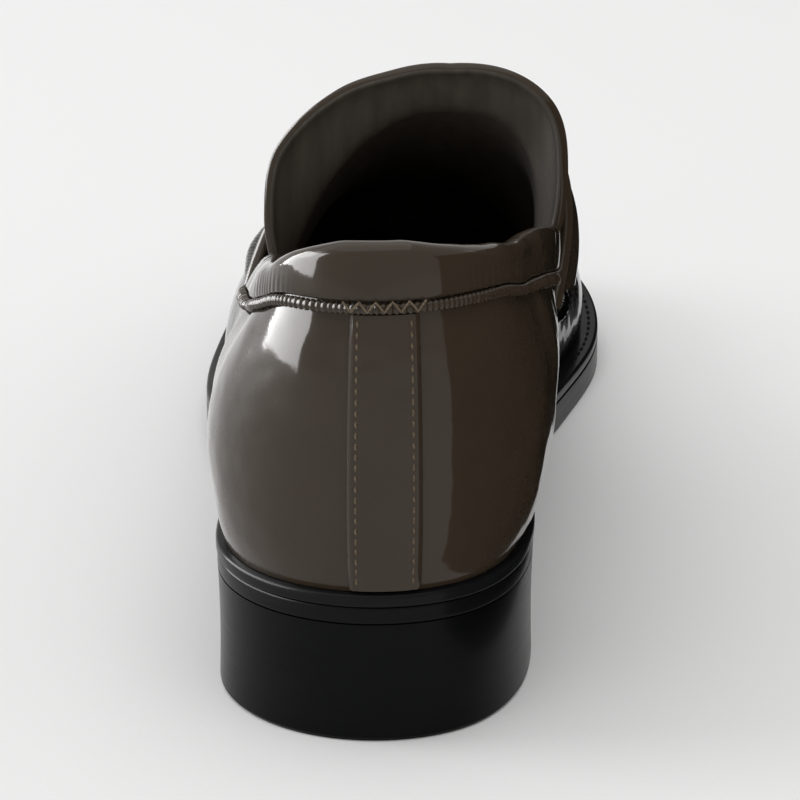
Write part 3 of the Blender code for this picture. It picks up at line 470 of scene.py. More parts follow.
# Both sides are read a little nearer the back than they are, up to this share of the length, so
# that they meet at the upper's very back.
BACK_ALONG, BACK_EASE = FEATHER_CURVE[:, 1].min() / SOLE_LENGTH, 0.06
print("ridge top", round(RIDGE_TOP / MM, 1), "mm, back", round((SEAT_HEIGHT + BACK_HEIGHT) / MM, 1), "mm")

# %% Feather line, ridge and topline


def bezier(handles, t):
    """Point of a cubic curve with four handles, each an array that matches t."""
    a, b, c, d = handles
    return (1 - t) ** 3 * a + 3 * (1 - t) ** 2 * t * b + 3 * (1 - t) * t**2 * c + t**3 * d


def by_side(side, lateral, medial):
    """Picks a value for each point's side. side is -1 or 1, an array like the values."""
    return np.where(np.asarray(side) > 0, medial, lateral)


def feather_x(side, y):
    """Across-place of the feather line on each point's side."""
    runs = [FEATHER_SIDES[s] for s in (LATERAL, MEDIAL)]
    return by_side(side, *[np.interp(y, run[:, 1], run[:, 0]) for run in runs])


def spine(y):
    """The point above which a meridian ends: on the ridge, or the fan's centre at heel and toe."""
    held = np.clip(y, HEEL_FAN * SOLE_LENGTH, TOE_FAN * SOLE_LENGTH)
    x = BALL_WIDTH * table_column(RIDGE, 2, held / SOLE_LENGTH)
    share = smooth_step(held / SOLE_LENGTH, HEEL_FAN, QUARTER_END)
    return HEEL_SHIFT + (x - HEEL_SHIFT) * share, held


def ridge_height(y):
    """Height of the last's ridge, level over the toe's fan."""
    held = np.clip(y, 0, TOE_FAN * SOLE_LENGTH)
    return RIDGE_TOP * table_column(RIDGE, 1, held / SOLE_LENGTH)


def from_back(y):
    """Share along the shoe, eased to nought at the upper's very back, where both sides must agree."""
    along = y / SOLE_LENGTH
    return along - BACK_ALONG * (1 - smooth_step(along, BACK_ALONG, BACK_EASE))


def topline_height(side, y):
    """Height of the quarter's top edge."""
    along = from_back(y)
    share = by_side(side, table_column(TOPLINE, 2, along), table_column(TOPLINE, 1, along))
    return SEAT_HEIGHT + BACK_HEIGHT * share


def side_column(side, rows, medial, lateral, along):
    """A table's column for each point's own side."""
    return by_side(side, table_column(rows, lateral, along), table_column(rows, medial, along))


def meridian_base(side, y):
    """Feather point's x, distance to the spine, and the outward direction between them."""
    base_x = feather_x(side, y)
    spine_x, spine_y = spine(y)
    reach = np.maximum(np.hypot(base_x - spine_x, y - spine_y), 1e-9)
    direction = np.stack([(base_x - spine_x) / reach, (y - spine_y) / reach], axis=-1)
    return base_x, reach, direction


def placed(side, y, out, up):
    """A point from its outward distance and height above the feather line."""
    base_x, _, direction = meridian_base(side, y)
    return np.stack(
        [
            base_x + direction[..., 0] * out,
            y + direction[..., 1] * out,
            welt_top(y) + FEATHER_GAP + up,
        ],
        axis=-1,
    )


print("ridge over the ball:", round(float(ridge_height(0.65 * SOLE_LENGTH)) / MM, 1), "mm")

# %% Vamp and quarter


def vamp_offsets(side, y, t):
    """The vamp's meridian: out to its wall handle, over its roof handle, in to the ridge."""
    along = y / SOLE_LENGTH
    _, reach, _ = meridian_base(side, y)
    height = ridge_height(y) - welt_top(y) - FEATHER_GAP
    wall = BALL_WIDTH * side_column(side, VAMP_SECTIONS, 1, 2, along)
    roof = BALL_WIDTH * side_column(side, VAMP_SECTIONS, 4, 5, along)
    up = table_column(VAMP_SECTIONS, 3, along)
    return (
        bezier((0 * reach, wall, roof, -reach), t),
        bezier((0 * reach, up * height, height, height), t),
    )


def section_step(y, share):
    """Where on the vamp's meridian a share of its height is reached, by halving the interval."""
    up = table_column(VAMP_SECTIONS, 3, y / SOLE_LENGTH)
    low, high = 0 * up, 0 * up + 1
    for _ in range(24):
        middle = (low + high) / 2
        short = bezier((0 * up, up, 0 * up + 1, 0 * up + 1), middle) < share
        low, high = np.where(short, middle, low), np.where(short, high, middle)
    return (low + high) / 2


def vamp_stop(side, y):
    """Where on the meridian the upper ends: the ridge, or behind it the throat's edge."""
    edge = topline_height(side, np.minimum(y, TOPLINE[-1][0] * SOLE_LENGTH))
    climb = np.clip((y - COLLAR_FRONT) / (THROAT - COLLAR_FRONT), 0, 1)
    full = ridge_height(y) - welt_top(y) - FEATHER_GAP
    low = section_step(y, np.clip((edge - welt_top(y) - FEATHER_GAP) / full, 0.05, 1))
    return low + (1 - low) * climb**THROAT_CURVE


def quarter_offsets(side, y, v):
    """The quarter's meridian: out to its belly, over its shoulder, in to the topline."""
    along = from_back(y)
    height = topline_height(side, y) - welt_top(y) - FEATHER_GAP
    belly = BALL_WIDTH * side_column(side, QUARTER_SECTIONS, 1, 2, along)
    shoulder = BALL_WIDTH * side_column(side, QUARTER_SECTIONS, 3, 4, along)
    top = BALL_WIDTH * side_column(side, QUARTER_SECTIONS, 5, 6, along)
    ups = (0 * belly, QUARTER_FOOT * height, QUARTER_SHOULDER * height, height)
    return bezier((0 * belly, belly, shoulder, top), v), bezier(ups, v)


def upper_face(side, y, v):
    """The upper's outer face: quarter behind, vamp ahead, blended over the joint's short run."""
    share = smooth_step(y / SOLE_LENGTH, QUARTER_END, VAMP_START)
    vamp_out, vamp_up = vamp_offsets(side, y, v * vamp_stop(side, y))
    quarter_out, quarter_up = quarter_offsets(side, y, v)
    out = quarter_out + (vamp_out - quarter_out) * share
    return placed(side, y, out, quarter_up + (vamp_up - quarter_up) * share)


def last_face(side, y, t):
    """The whole last from feather line to ridge, as if the shoe had no opening."""
    return placed(side, y, *vamp_offsets(side, y, t))


def face_normal(surface, side, y, v):
    """Outward normal of a surface function, from two small steps along it."""
    dy, dv = 0.15 * MM, 0.004
    low, high = FEATHER_CURVE[:, 1].min(), FEATHER_CURVE[:, 1].max()
    back, ahead = np.clip(y - dy, low, high), np.clip(y + dy, low, high)
    along = surface(side, ahead, v) - surface(side, back, v)
    up = surface(side, y, np.minimum(v + dv, 1)) - surface(side, y, np.maximum(v - dv, 0))
    return unit(np.cross(along, up) * np.asarray(side)[..., None])


print("back of the topline, mm:", (upper_face(1, 1.9 * MM, 1.0) / MM).round(1))

# %% [markdown]
# ## Mesh helpers
# Most pieces are a closed outline carried along a path: a band of rings with a cap at either end.
# The caps are fans round a middle point. Blender needs the faces to point outwards, and the sign of
# the enclosed volume tells whether they do.

# %% One piece
MERGED_UNDER = 0.004 * MM
FLAT_UNDER = 0.002 * MM
SHARP_ANGLE = math.radians(40)


def add_piece(name, points, faces, materials, slot, stands_for=(), face_slots=None):
    """Makes the object, smooth but for edges sharper than the angle, and ties it to the frame."""
    mesh = bpy.data.meshes.new(name)
    mesh.from_pydata((points + FRAME_SHIFT).tolist(), [], faces)
    for material in materials:
        mesh.materials.append(material)
    if face_slots is not None:
        mesh.polygons.foreach_set("material_index", np.asarray(face_slots, dtype=np.int32))
    work = bmesh.new()
    work.from_mesh(mesh)
    bmesh.ops.remove_doubles(work, verts=work.verts, dist=MERGED_UNDER)
    bmesh.ops.dissolve_degenerate(work, edges=work.edges, dist=FLAT_UNDER)
    bmesh.ops.recalc_face_normals(work, faces=work.faces)
    if work.calc_volume(signed=True) < 0:
        bmesh.ops.reverse_faces(work, faces=work.faces)
    work.to_mesh(mesh)
    work.free()
    mesh.shade_smooth()
    mesh.set_sharp_from_angle(angle=SHARP_ANGLE)
    thing = bpy.data.objects.new(name, mesh)
    bpy.context.scene.collection.objects.link(thing)
    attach(thing, "root")
    if stands_for:
        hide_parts(*stands_for)
    print(name, "faces", len(mesh.polygons))
    return thing


# %% Bands and slabs


def band_faces(count, number, wrap=False):
    """Quads between rings in a row: count rings of number points each."""
    i = np.arange(count if wrap else count - 1)[:, None]
    j = np.arange(number)[None, :]
    after, above = (i + 1) % count, (j + 1) % number
    quads = np.stack(
        [i * number + j, after * number + j, after * number + above, i * number + above], axis=-1
    )
    return quads.reshape(-1, 4)


def band(name, rings, materials, wrap=False, **rest):
    """A solid of closed rings in a row, capped with fans unless it closes on itself."""
    rings = np.asarray(rings)
    count, number = rings.shape[:2]
    points = rings.reshape(-1, 3)
    faces = band_faces(count, number, wrap).tolist()
    if not wrap:
        j = np.arange(number)
        after = (j + 1) % number
        last = (count - 1) * number
        points = np.vstack([points, rings[0].mean(axis=0), rings[-1].mean(axis=0)])
        middle = count * number
        faces += np.stack([j, after, np.full(number, middle)], axis=1).tolist()
        faces += np.stack([last + j, last + after, np.full(number, middle + 1)], axis=1).tolist()
    return add_piece(name, points, faces, materials, **rest)


def slab(name, layers, materials, **rest):
    """A solid between stacked outlines; its two flat ends are ladders from side to side."""
    layers = np.asarray(layers)
    count, number = layers.shape[:2]
    faces = band_faces(count, number).tolist()
    i = np.arange(number // 2)
    for start in (0, (count - 1) * number):
        rungs = np.stack([i, i + 1, number - i - 1, (number - i) % number], axis=1) + start
        faces += [tuple(dict.fromkeys(rung)) for rung in rungs.tolist()]
    return add_piece(name, layers.reshape(-1, 3), faces, materials, **rest)


# %% Ropes and rows of stitches
STITCHES = {
    # seam: pitch, length and half thickness in mm
    "join": (2.0, 1.5, 0.20), "strap": (2.0, 1.5, 0.24), "saddle": (2.6, 2.0, 0.28),
    "welt": (3.4, 2.7, 0.35),
}
STITCH_TAPER = 0.92
STITCH_LIFT, STITCH_ARCH = 0.35, 1.15
STRANDS = 2


def tube_rings(path, radius, sides, twist=0.0, ridge=0.0):
    """Rings round a path. ridge: depth of a rope's strands as a share of the radius, which turn by
    twist turns per metre."""
    path = np.asarray(path)
    run = unit(np.gradient(path, axis=0))
    side = unit(np.cross(run, np.array([0.0, 0.0, 1.0])))
    up = np.cross(side, run)
    angle = np.linspace(0, 2 * math.pi, sides + 1)[:-1]
    turned = angle[None] - 2 * math.pi * twist * path_length(path)[:, None]
    size = radius * (1 + ridge * np.cos(STRANDS * turned))
    circle = side[:, None] * np.cos(angle)[None, :, None] + up[:, None] * np.sin(angle)[None, :, None]
    return path[:, None] + size[..., None] * circle


def even_path(path, pitch, follow):
    """Points at an even pitch along a path, the path's direction there, and follow's value there."""
    length = path_length(path)
    count = max(int(length[-1] / pitch), 1)
    places = (np.arange(count) + 0.5) * length[-1] / count
    points, ahead, behind, followed = [
        np.stack([np.interp(places + shift, length, values[:, k]) for k in range(3)], axis=1)
        for shift, values in ((0, path), (0.2 * pitch, path), (-0.2 * pitch, path), (0, follow))
    ]
    return points, unit(ahead - behind), followed


def stitch_row(name, path, normals, seam, material=None, slot="taupe_patent"):
    """Stitches along a path: each is a small arched lens, its ends sunk where the needle went in.
    normals: the surface's outward direction along the path. seam: its row in STITCHES. The thread is
    the taupe one unless a material is given."""
    pitch, length, radius = (size * MM for size in STITCHES[seam])
    points, run, towards = even_path(path, pitch, normals)
    out = unit(towards - run * np.sum(towards * run, axis=1)[:, None])
    across = np.cross(run, out)
    t = np.linspace(-1, 1, 7)
    angle = np.linspace(0, 2 * math.pi, 7)[:-1]
    fat = radius * np.sqrt(np.clip(1 - STITCH_TAPER * t**2, 0, 1))
    arch = radius * (STITCH_LIFT - STITCH_ARCH * t**2)
    along = np.repeat((t * length / 2)[:, None], len(angle), axis=1)
    side = fat[:, None] * np.cos(angle)[None]
    high = fat[:, None] * np.sin(angle)[None] + arch[:, None]
    shape = (
        points[:, None, None]
        + run[:, None, None] * along[None, ..., None]
        + across[:, None, None] * side[None, ..., None]
        + out[:, None, None] * high[None, ..., None]
    )
    count, rings, sides = shape.shape[:3]
    one = band_faces(rings, sides)
    caps = [list(range(sides)), list(range((rings - 1) * sides, rings * sides))]
    faces = []
    for i in range(count):
        start = i * rings * sides
        faces += (one + start).tolist() + [[start + k for k in cap] for cap in caps]
    return add_piece(name, shape.reshape(-1, 3), faces, [material or THREAD], slot=slot)


# %% [markdown]
# ## Patent leather
# Patent leather is leather under a thick clear lacquer. The eye gets two things: a soft dark colour
# from below, and above it a sharp mirror that is a little uneven, because the lacquer settles over
# the hide. A glossy base alone would mirror with the colour's own roughness, so the base stays
# middling rough and a clear coat over it is nearly smooth. A slow noise, some 9 mm wide, tilts the
# coat's reflections, and a finer one of about 0.6 mm is the orange skin of sprayed lacquer.

# %% Patent leather, taupe and black
LACQUER_WAVE = 9 * MM
LACQUER_SKIN = 0.6 * MM
MOTTLE_SIZE = 27 * MM
RUB_SIZE = 5 * MM
COAT_IOR = 1.33


def patent_leather(name, colour, deep, wave=0.35, coat_ior=COAT_IOR):
    """Lacquered calf: a colour mottled towards deep, rubbed a little dull in places, under a clear
    coat. Slow waves and a fine skin are added up in the bump."""
    material, tree, shader, where = new_material(name)
    mottle = add(tree, "ShaderNodeTexNoise", {"Scale": 1 / MOTTLE_SIZE, "Detail": 3.0}, where)
    tone = add(
        tree,
        "ShaderNodeMix",
        {"data_type": "RGBA", 6: linear(deep), 7: linear(colour)},
        {0: mottle.outputs["Fac"]},
    )
    waves = add(tree, "ShaderNodeTexNoise", {"Scale": 1 / LACQUER_WAVE, "Detail": 1.0}, where)
    slow = add(
        tree,
        "ShaderNodeBump",
        {"Strength": wave, "Distance": 0.9 * MM},
        {"Height": waves.outputs["Fac"]},
    )
    skin = add(tree, "ShaderNodeTexNoise", {"Scale": 1 / LACQUER_SKIN, "Detail": 2.0}, where)
    fine = add(
        tree,
        "ShaderNodeBump",
        {"Strength": 0.10, "Distance": 0.05 * MM},
        {"Height": skin.outputs["Fac"], "Normal": slow.outputs["Normal"]},
    )
    rubbed = add(tree, "ShaderNodeTexNoise", {"Scale": 1 / RUB_SIZE, "Detail": 6.0}, where)
    dull = add(
        tree,
        "ShaderNodeMapRange",
        {"From Min": 0.3, "From Max": 0.8, "To Min": 0.22, "To Max": 0.34},
        {"Value": rubbed.outputs["Fac"]},
    )
    settings = {
        "IOR": 1.45, "Specular IOR Level": 0.05,
        "Coat Weight": 1.0, "Coat Roughness": 0.07, "Coat IOR": coat_ior,
    }
    finish(
        tree,
        shader,
        settings,
        {
            "Base Color": tone.outputs[2],
            "Roughness": dull.outputs["Result"],
            "Normal": fine.outputs["Normal"],
            "Coat Normal": fine.outputs["Normal"],
        },
    )
    return material


# The coat's IOR is below a real lacquer's 1.5, because the leather mirrored too much of the sky.
TAUPE = patent_leather("patent_calf_taupe", "#3F352A", "#332A21")
BLACK = patent_leather("patent_calf_black", "#0D0D0D", "#080808", wave=0.5, coat_ior=1.16)
print("patent leather:", TAUPE.name, BLACK.name)

# %% [markdown]
# ## Lining and thread
# The lining is smooth unlacquered leather: dull, with a fine pebbled grain of half a millimetre, and
# with upright streaks where the foot has rubbed it. The thread is bonded nylon, which shines a
# little along its strands; that shine is a painted highlight, a lighter tone in the thread's colour.
# Both are too fine to model, so they are drawn in colour and bump.

# %% Lining leather
GRAIN = 0.55 * MM
CREASE_SHARE = 0.12
STREAK_WIDTH, STREAK_LENGTH = 2.5 * MM, 30 * MM


def lining_leather():
    """Brown glove leather: cells a grain wide as pebbles, a noise drawn out upwards as streaks of
    two tones, and no gloss coat."""
    material, tree, shader, where = new_material("lining_calf_brown")
    cells = add(
        tree,
        "ShaderNodeTexVoronoi",
        {"Scale": 1 / GRAIN, "feature": "DISTANCE_TO_EDGE"},
        where,
    )
    creases = add(
        tree,
        "ShaderNodeMapRange",
        {"From Min": 0.0, "From Max": CREASE_SHARE, "To Min": 0.0, "To Max": 1.0},
        {"Value": cells.outputs["Distance"]},
    )
    grain = add(
        tree,
        "ShaderNodeBump",
        {"Strength": 0.35, "Distance": 0.08 * MM},
        {"Height": creases.outputs["Result"]},
    )
    drawn = add(
        tree,
        "ShaderNodeMapping",
        {"Scale": (1 / STREAK_WIDTH, 1 / STREAK_WIDTH, 1 / STREAK_LENGTH)},
        where,
    )
    cloud = add(
        tree,
        "ShaderNodeTexNoise",
        {"Scale": 1.0, "Detail": 4.0},
        {"Vector": drawn.outputs["Vector"]},
    )
    tone = add(
        tree,
        "ShaderNodeMix",
        {"data_type": "RGBA", 6: linear("#2B2621"), 7: linear("#51493E")},
        {0: cloud.outputs["Fac"]},
    )
    finish(
        tree,
        shader,
        {"Roughness": 0.62, "Specular IOR Level": 0.3},
        {"Base Color": tone.outputs[2], "Normal": grain.outputs["Normal"]},
    )
    return material


LINING = lining_leather()
print("lining:", LINING.name)

# %% Thread
# Real strands are 0.15 mm wide. They are drawn some 0.7 mm wide so that they show.
STRAND_WIDTH = 0.6856 * MM
# A diagonal wave turns by 10 radians for each unit of x + y + z, which is the root of 3 along it.
STRAND_SCALE = 2 * math.pi / (10 * math.sqrt(3) * STRAND_WIDTH)


def nylon_thread(name, colour, light):
    """Bonded thread: a wave as wide as a strand carries up to a third of a lighter tone, a painted
    highlight along the strands. light is the colour of that painted highlight.
    """
    material, tree, shader, where = new_material(name)
    strands = add(
        tree,
        "ShaderNodeTexWave",
        {"Scale": STRAND_SCALE, "Distortion": 1.5, "bands_direction": "DIAGONAL"},
        where,
    )
    share = add(
        tree,
        "ShaderNodeMapRange",
        {"To Min": 0.0, "To Max": 0.35},
        {"Value": strands.outputs["Fac"]},
    )
    # The lighter tone mixed in here is a painted highlight: the strands' shine drawn into the colour.
    tone = add(
        tree,
        "ShaderNodeMix",
        {"data_type": "RGBA", 6: linear(colour), 7: linear(light)},
        {0: share.outputs["Result"]},
    )
    twist = add(
        tree,
        "ShaderNodeBump",
        {"Strength": 0.4, "Distance": 0.08 * MM},
        {"Height": strands.outputs["Fac"]},
    )
    finish(
        tree,
        shader,
        {"Roughness": 0.48, "Specular IOR Level": 0.12},
        {"Base Color": tone.outputs[2], "Normal": twist.outputs["Normal"]},
    )
    return material


# Each thread's second colour is its painted highlight along the strands.
THREAD = nylon_thread("bonded_thread_taupe", "#5A4E40", "#8A7C66")
THREAD_BLACK = nylon_thread("bonded_thread_black", "#0B0B0B", "#141414")
print("thread:", THREAD.name, THREAD_BLACK.name)

# %% [markdown]
# ## Inked edges and the heel's lacquer
# Welt and sole edges are inked and burnished with a hot iron, so their gloss runs in faint streaks
# along the edge. The heel is a moulded block with a black lacquer. All three are one recipe: a noise
# stretched level, far longer than it is high, moves both the tone and the gloss.

# %% Burnished edges
BURNISH_LENGTH, BURNISH_HEIGHT = 14 * MM, 0.5 * MM
GLOSSIER, DULLER = 0.06, 0.10


def burnished_edge(name, colour, streak, roughness, coat):
    """Inked edge: a level noise mixes colour and streak, and moves the roughness both ways."""
    material, tree, shader, where = new_material(name)
    stretched = add(
        tree,
        "ShaderNodeMapping",
        {"Scale": (1 / BURNISH_LENGTH, 1 / BURNISH_LENGTH, 1 / BURNISH_HEIGHT)},
        where,
    )
    grain = add(
        tree,
        "ShaderNodeTexNoise",
        {"Scale": 1.0, "Detail": 4.0},
        {"Vector": stretched.outputs["Vector"]},
    )
    tone = add(
        tree,
        "ShaderNodeMix",
        {"data_type": "RGBA", 6: linear(colour), 7: linear(streak)},
        {0: grain.outputs["Fac"]},
    )
    gloss = add(
        tree,
        "ShaderNodeMapRange",
        {"To Min": roughness - GLOSSIER, "To Max": roughness + DULLER},
        {"Value": grain.outputs["Fac"]},
    )
    rub = add(
        tree,
        "ShaderNodeBump",
        {"Strength": 0.2, "Distance": 0.06 * MM},
        {"Height": grain.outputs["Fac"]},
    )
    settings = {
        "Specular IOR Level": 0.06, "Coat Weight": coat, "Coat Roughness": 0.14, "Coat IOR": 1.22,
    }
    finish(
        tree,
        shader,
        settings,
        {
            "Base Color": tone.outputs[2],
            "Roughness": gloss.outputs["Result"],
            "Normal": rub.outputs["Normal"],
        },
    )
    return material


WELT_EDGE = burnished_edge("burnished_welt_black", "#0D0D0E", "#1A1B1C", 0.34, 0.35)
SOLE_EDGE = burnished_edge("burnished_sole_black", "#090909", "#121213", 0.34, 0.3)
HEEL_LACQUER = burnished_edge("lacquered_heel_black", "#040505", "#080909", 0.30, 0.25)
print("edges:", WELT_EDGE.name, SOLE_EDGE.name, HEEL_LACQUER.name)

# %% [markdown]
# ## Sole, welt, heel and insole
# Each is a stack of outlines. The welt is a closed band whose cut edge has soft corners, the sole is
# thinner at the seat than at the forepart and lies flat on the floor at the ball, and the heel is
# cut off in front by a hollow breast. A bevel modifier could round the edges, but it would round
# the joints too, so the round corners are drawn into the outlines.

# %% Outsole and welt
SEAM_GAP = 0.3 * MM
JOINT_GAP = 0.08 * MM
SEAT_SOLE_THICKNESS = 2.7 * MM
SHANK_SOLE_THICKNESS = 4.6 * MM
TREAD_FLATTENING = 0.5 * MM
SEAT_DRAW_IN = 0.25 * MM
EDGE_ROUND = 0.5 * MM
WELT_TOP_ROUND = 0.7 * MM
SOLE_STATIONS = 220
ROUND_STEPS = 6


def outsole_top(y):
    """The sole's upper face, just under the welt."""
    return welt_top(y) - WELT_THICKNESS - SEAM_GAP


def outsole_bottom(y):
    """The tread: flat on the floor at the ball, lifted at the toe, arched up to the heel."""
    along = np.asarray(y, float) / SOLE_LENGTH
    tread = FOREPART_HEIGHT - WELT_THICKNESS - SEAM_GAP
    shank = SHANK_SOLE_THICKNESS + (tread - SHANK_SOLE_THICKNESS) * smooth_step(along, 0.42, 0.62)
    thickness = SEAT_SOLE_THICKNESS + (shank - SEAT_SOLE_THICKNESS) * smooth_step(along, 0.20, 0.36)
    return np.maximum(outsole_top(y) - thickness - TREAD_FLATTENING, 0.0)


def rounded_edge(flat, bottom, top, radius_low, radius_high, draw_in=0.0):
    """Rings up a slab's side, with a quarter circle at its lower and its upper corner: by the
    angle's sine and cosine each ring goes in and up."""
    normals = outward(flat)
    angle = np.linspace(0, math.pi / 2, ROUND_STEPS)
    steps = [(radius_low * (1 - np.sin(a)), bottom + radius_low * (1 - np.cos(a))) for a in angle]
    steps += [(radius_high * (1 - np.cos(a)), top - radius_high * (1 - np.sin(a))) for a in angle]
    return [
        np.column_stack([flat - normals * np.reshape(draw_in + inward, (-1, 1)), height])
        for inward, height in steps
    ]


def make_outsole():
    """The sole: its outline from the tread up to the welt, drawn in a little under the seat."""
    flat = paired_ring(SOLE_CURVE, SOLE_STATIONS)
    y = flat[:, 1]
    draw_in = SEAT_DRAW_IN * (1 - smooth_step(y / SOLE_LENGTH, 0.24, 0.34))
    top = outsole_top(y) + SEAM_GAP - JOINT_GAP
    layers = rounded_edge(flat, outsole_bottom(y), top, EDGE_ROUND, EDGE_ROUND, draw_in)
    return slab("outsole_black", layers, [SOLE_EDGE], stands_for=("outsole",), slot="sole_black")


def make_welt():
    """The welt's section: a strip with two soft outer corners, carried round the whole sole."""
    flat = paired_ring(SOLE_CURVE, SOLE_STATIONS)
    y = flat[:, 1]
    top, bottom = welt_top(y), welt_top(y) - WELT_THICKNESS
    width = ledge_width(y) + UPPER_WALL + SEAM_GAP
    inner = flat - outward(flat) * width[:, None]
    rings = [np.column_stack([inner, welt_top(inner[:, 1]) - WELT_THICKNESS])]
    rings += rounded_edge(flat, bottom, top, EDGE_ROUND, WELT_TOP_ROUND)
    rings.append(np.column_stack([inner, welt_top(inner[:, 1])]))
    section = np.transpose(np.array(rings), (1, 0, 2))
    return band(
        "welt_black", section, [WELT_EDGE], wrap=True, stands_for=("welt",), slot="sole_black"
    )


make_outsole()
make_welt()

# %% Heel and insole
HEEL_LENGTH = 63 * MM
HEEL_BREAST_HOLLOW = 3.5 * MM
HEEL_TAPER = 0.1 * MM
HEEL_LIP = 0.3 * MM
HEEL_BACK_LEAN = -0.4 * MM
HEEL_ROUND = 0.6 * MM
HEEL_WAIST = 0.25 * MM
HEEL_TRIM = 0.4 * MM
HEEL_ROWS = 24
BREAST_POINTS = 40
INSOLE_RISE = 2 * MM
INSOLE_CLEARANCE = 0.5 * MM
INSOLE_STATIONS = 160
INSOLE_ROUND_LOW, INSOLE_ROUND_TOP = 0.2 * MM, 0.8 * MM


def heel_outline(count=90):
    """The sole's own outline, cut off by a hollow breast."""
    lateral, medial = curve_sides(SOLE_CURVE)
    places = HEEL_LENGTH * (1 - np.cos(np.linspace(0, math.pi / 2, count)))
    places = places * (1 - HEEL_TRIM / HEEL_LENGTH)
    left = np.stack([np.interp(places, lateral[:, 1], lateral[:, 0]), places], axis=1)
    right = np.stack([np.interp(places, medial[:, 1], medial[:, 0]), places], axis=1)
    across = np.linspace(0, 1, BREAST_POINTS + 2)[1:-1]
    hollow = HEEL_BREAST_HOLLOW * np.sin(math.pi * across)
    x = left[-1, 0] + (right[-1, 0] - left[-1, 0]) * across
    return np.vstack([left, np.stack([x, places[-1] - hollow], axis=1), right[:0:-1]])


def make_heel():
    """Block heel: nearly upright, with a faint waist under the seat and a soft lower edge."""
    flat = heel_outline()
    middle = np.array([flat[:, 0].mean(), HEEL_LENGTH / 2])
    normals = unit(flat - middle)
    top = outsole_bottom(flat[:, 1]) - JOINT_GAP
    height = top[:, None] * np.concatenate([[0], np.linspace(0.03, 1, HEEL_ROWS)])[None]
    rise = height / top[:, None]
    foot = HEEL_ROUND * (1 - smooth_step(height, -HEEL_ROUND, HEEL_ROUND)) * 2
    waist = HEEL_WAIST * np.sin(math.pi * rise)
    draw_in = HEEL_LIP + HEEL_TAPER * (1 - rise) + foot + waist
    lean = HEEL_BACK_LEAN * (1 - rise) * (1 - flat[:, 1] / HEEL_LENGTH)[:, None]
    x = flat[:, :1] - normals[:, :1] * draw_in
    y = flat[:, 1:] - normals[:, 1:] * draw_in + lean
    rings = np.stack([x, y, height], axis=-1).transpose(1, 0, 2)
    return band("heel_block", rings, [HEEL_LACQUER], stands_for=("heel",), slot="heel_black")


def make_insole():
    """The sock on its board: the feather line moved in by wall and clearance, between two heights."""
    flat = paired_ring(inset_curve(UPPER_WALL + SEAM_GAP + INSOLE_CLEARANCE), INSOLE_STATIONS)
    y = flat[:, 1]
    bottom, top = outsole_top(y) + SEAM_GAP, welt_top(y) + INSOLE_RISE
    layers = rounded_edge(flat, bottom, top, INSOLE_ROUND_LOW, INSOLE_ROUND_TOP)
    return slab("insole_sock", layers, [LINING], stands_for=("insole",), slot="lining")


make_heel()
make_insole()

# %% [markdown]
# ## The upper
# One shell with a real wall. A Solidify modifier could give the wall, but the throat and the feather
# line would then need mending, so the inner face is the same grid moved in by the wall. The outer
# face follows the last, with soft creases pushed into it and puckers under the gathered seam. Behind
# a straight line under the saddle the leather is taupe, ahead of it black, and inside it is lining.
# A row of stitches runs up just behind that join.

# %% Creases and puckers
CREASES = [
    # side, along, height share; side, along, height share of the other end; width, depth in mm
    (LATERAL, 0.10, 0.30, LATERAL, 0.24, 0.20, 7.0, -0.8),
    (LATERAL, 0.16, 0.52, LATERAL, 0.30, 0.34, 6.0, -0.6),
    (LATERAL, 0.20, 0.16, LATERAL, 0.33, 0.10, 6.0, 0.5),
    (MEDIAL, 0.06, 0.55, MEDIAL, 0.16, 0.30, 7.0, -0.7),
    (MEDIAL, 0.15, 0.60, MEDIAL, 0.28, 0.35, 6.5, -0.7),
    (MEDIAL, 0.12, 0.18, MEDIAL, 0.26, 0.12, 6.0, 0.4),
    (LATERAL, 0.55, 0.70, LATERAL, 0.60, 0.35, 5.0, -0.7),
    (MEDIAL, 0.56, 0.70, MEDIAL, 0.61, 0.35, 5.0, -0.7),
]
PUCKER_PITCH = 3.6 * MM
PUCKER_DEPTH = 0.32 * MM
PUCKER_REACH = 6 * MM
PUCKER_DRIFT, PUCKER_DRIFT_PITCH = 1.3, 7 * MM


def crease_depth(points):
    """Sum of soft troughs and ridges: each is a bell across its line, faded at its two ends."""
    total = np.zeros(points.shape[:-1])
    for side, along, share, side_2, along_2, share_2, width, depth in CREASES:
        ends = [
            upper_face(np.array([s]), np.array([a * SOLE_LENGTH]), np.array([v]))[0]
            for s, a, v in ((side, along, share), (side_2, along_2, share_2))
        ]
        run = ends[1] - ends[0]
        length = np.linalg.norm(run)
        run = run / length
        gap = points - ends[0]
        t = gap @ run
        across = np.linalg.norm(gap - t[..., None] * run, axis=-1)
        fade = smooth_step(t, -0.3 * length, 0.2 * length)
        fade = fade * (1 - smooth_step(t, 0.8 * length, 1.3 * length))
        total += depth * MM * bump(across, 0, width * MM) * fade
    return total


def pucker_depth(side, y, v):
    """Small waves that hang from the gathered seam and die out below it, strongest at its ends: a
    sine along the shoe whose pitch drifts, times a fade in y and a decay in the height below."""
    height = topline_height(side, np.minimum(y, COLLAR_FRONT)) - welt_top(y)
    below = (1 - v) * height
    strength = smooth_step(y, 0.10 * COLLAR_FRONT, 0.85 * COLLAR_FRONT)
    strength = strength * (1 - smooth_step(y, COLLAR_FRONT, 1.1 * COLLAR_FRONT))
    drift = PUCKER_DRIFT * np.sin(y / PUCKER_DRIFT_PITCH)
    wave = np.sin(2 * math.pi * y / PUCKER_PITCH + drift)
    return PUCKER_DEPTH * strength * wave * np.exp(-below / PUCKER_REACH)


print("creases:", len(CREASES))


# %% The upper as a shell
UPPER_STATIONS = 210
UPPER_ROWS = 44
THROAT_STATIONS = 26
STATION_GAP = 0.4 * MM
JOIN = 104.5 * MM
JOIN_STITCH_BACK = 2 * MM


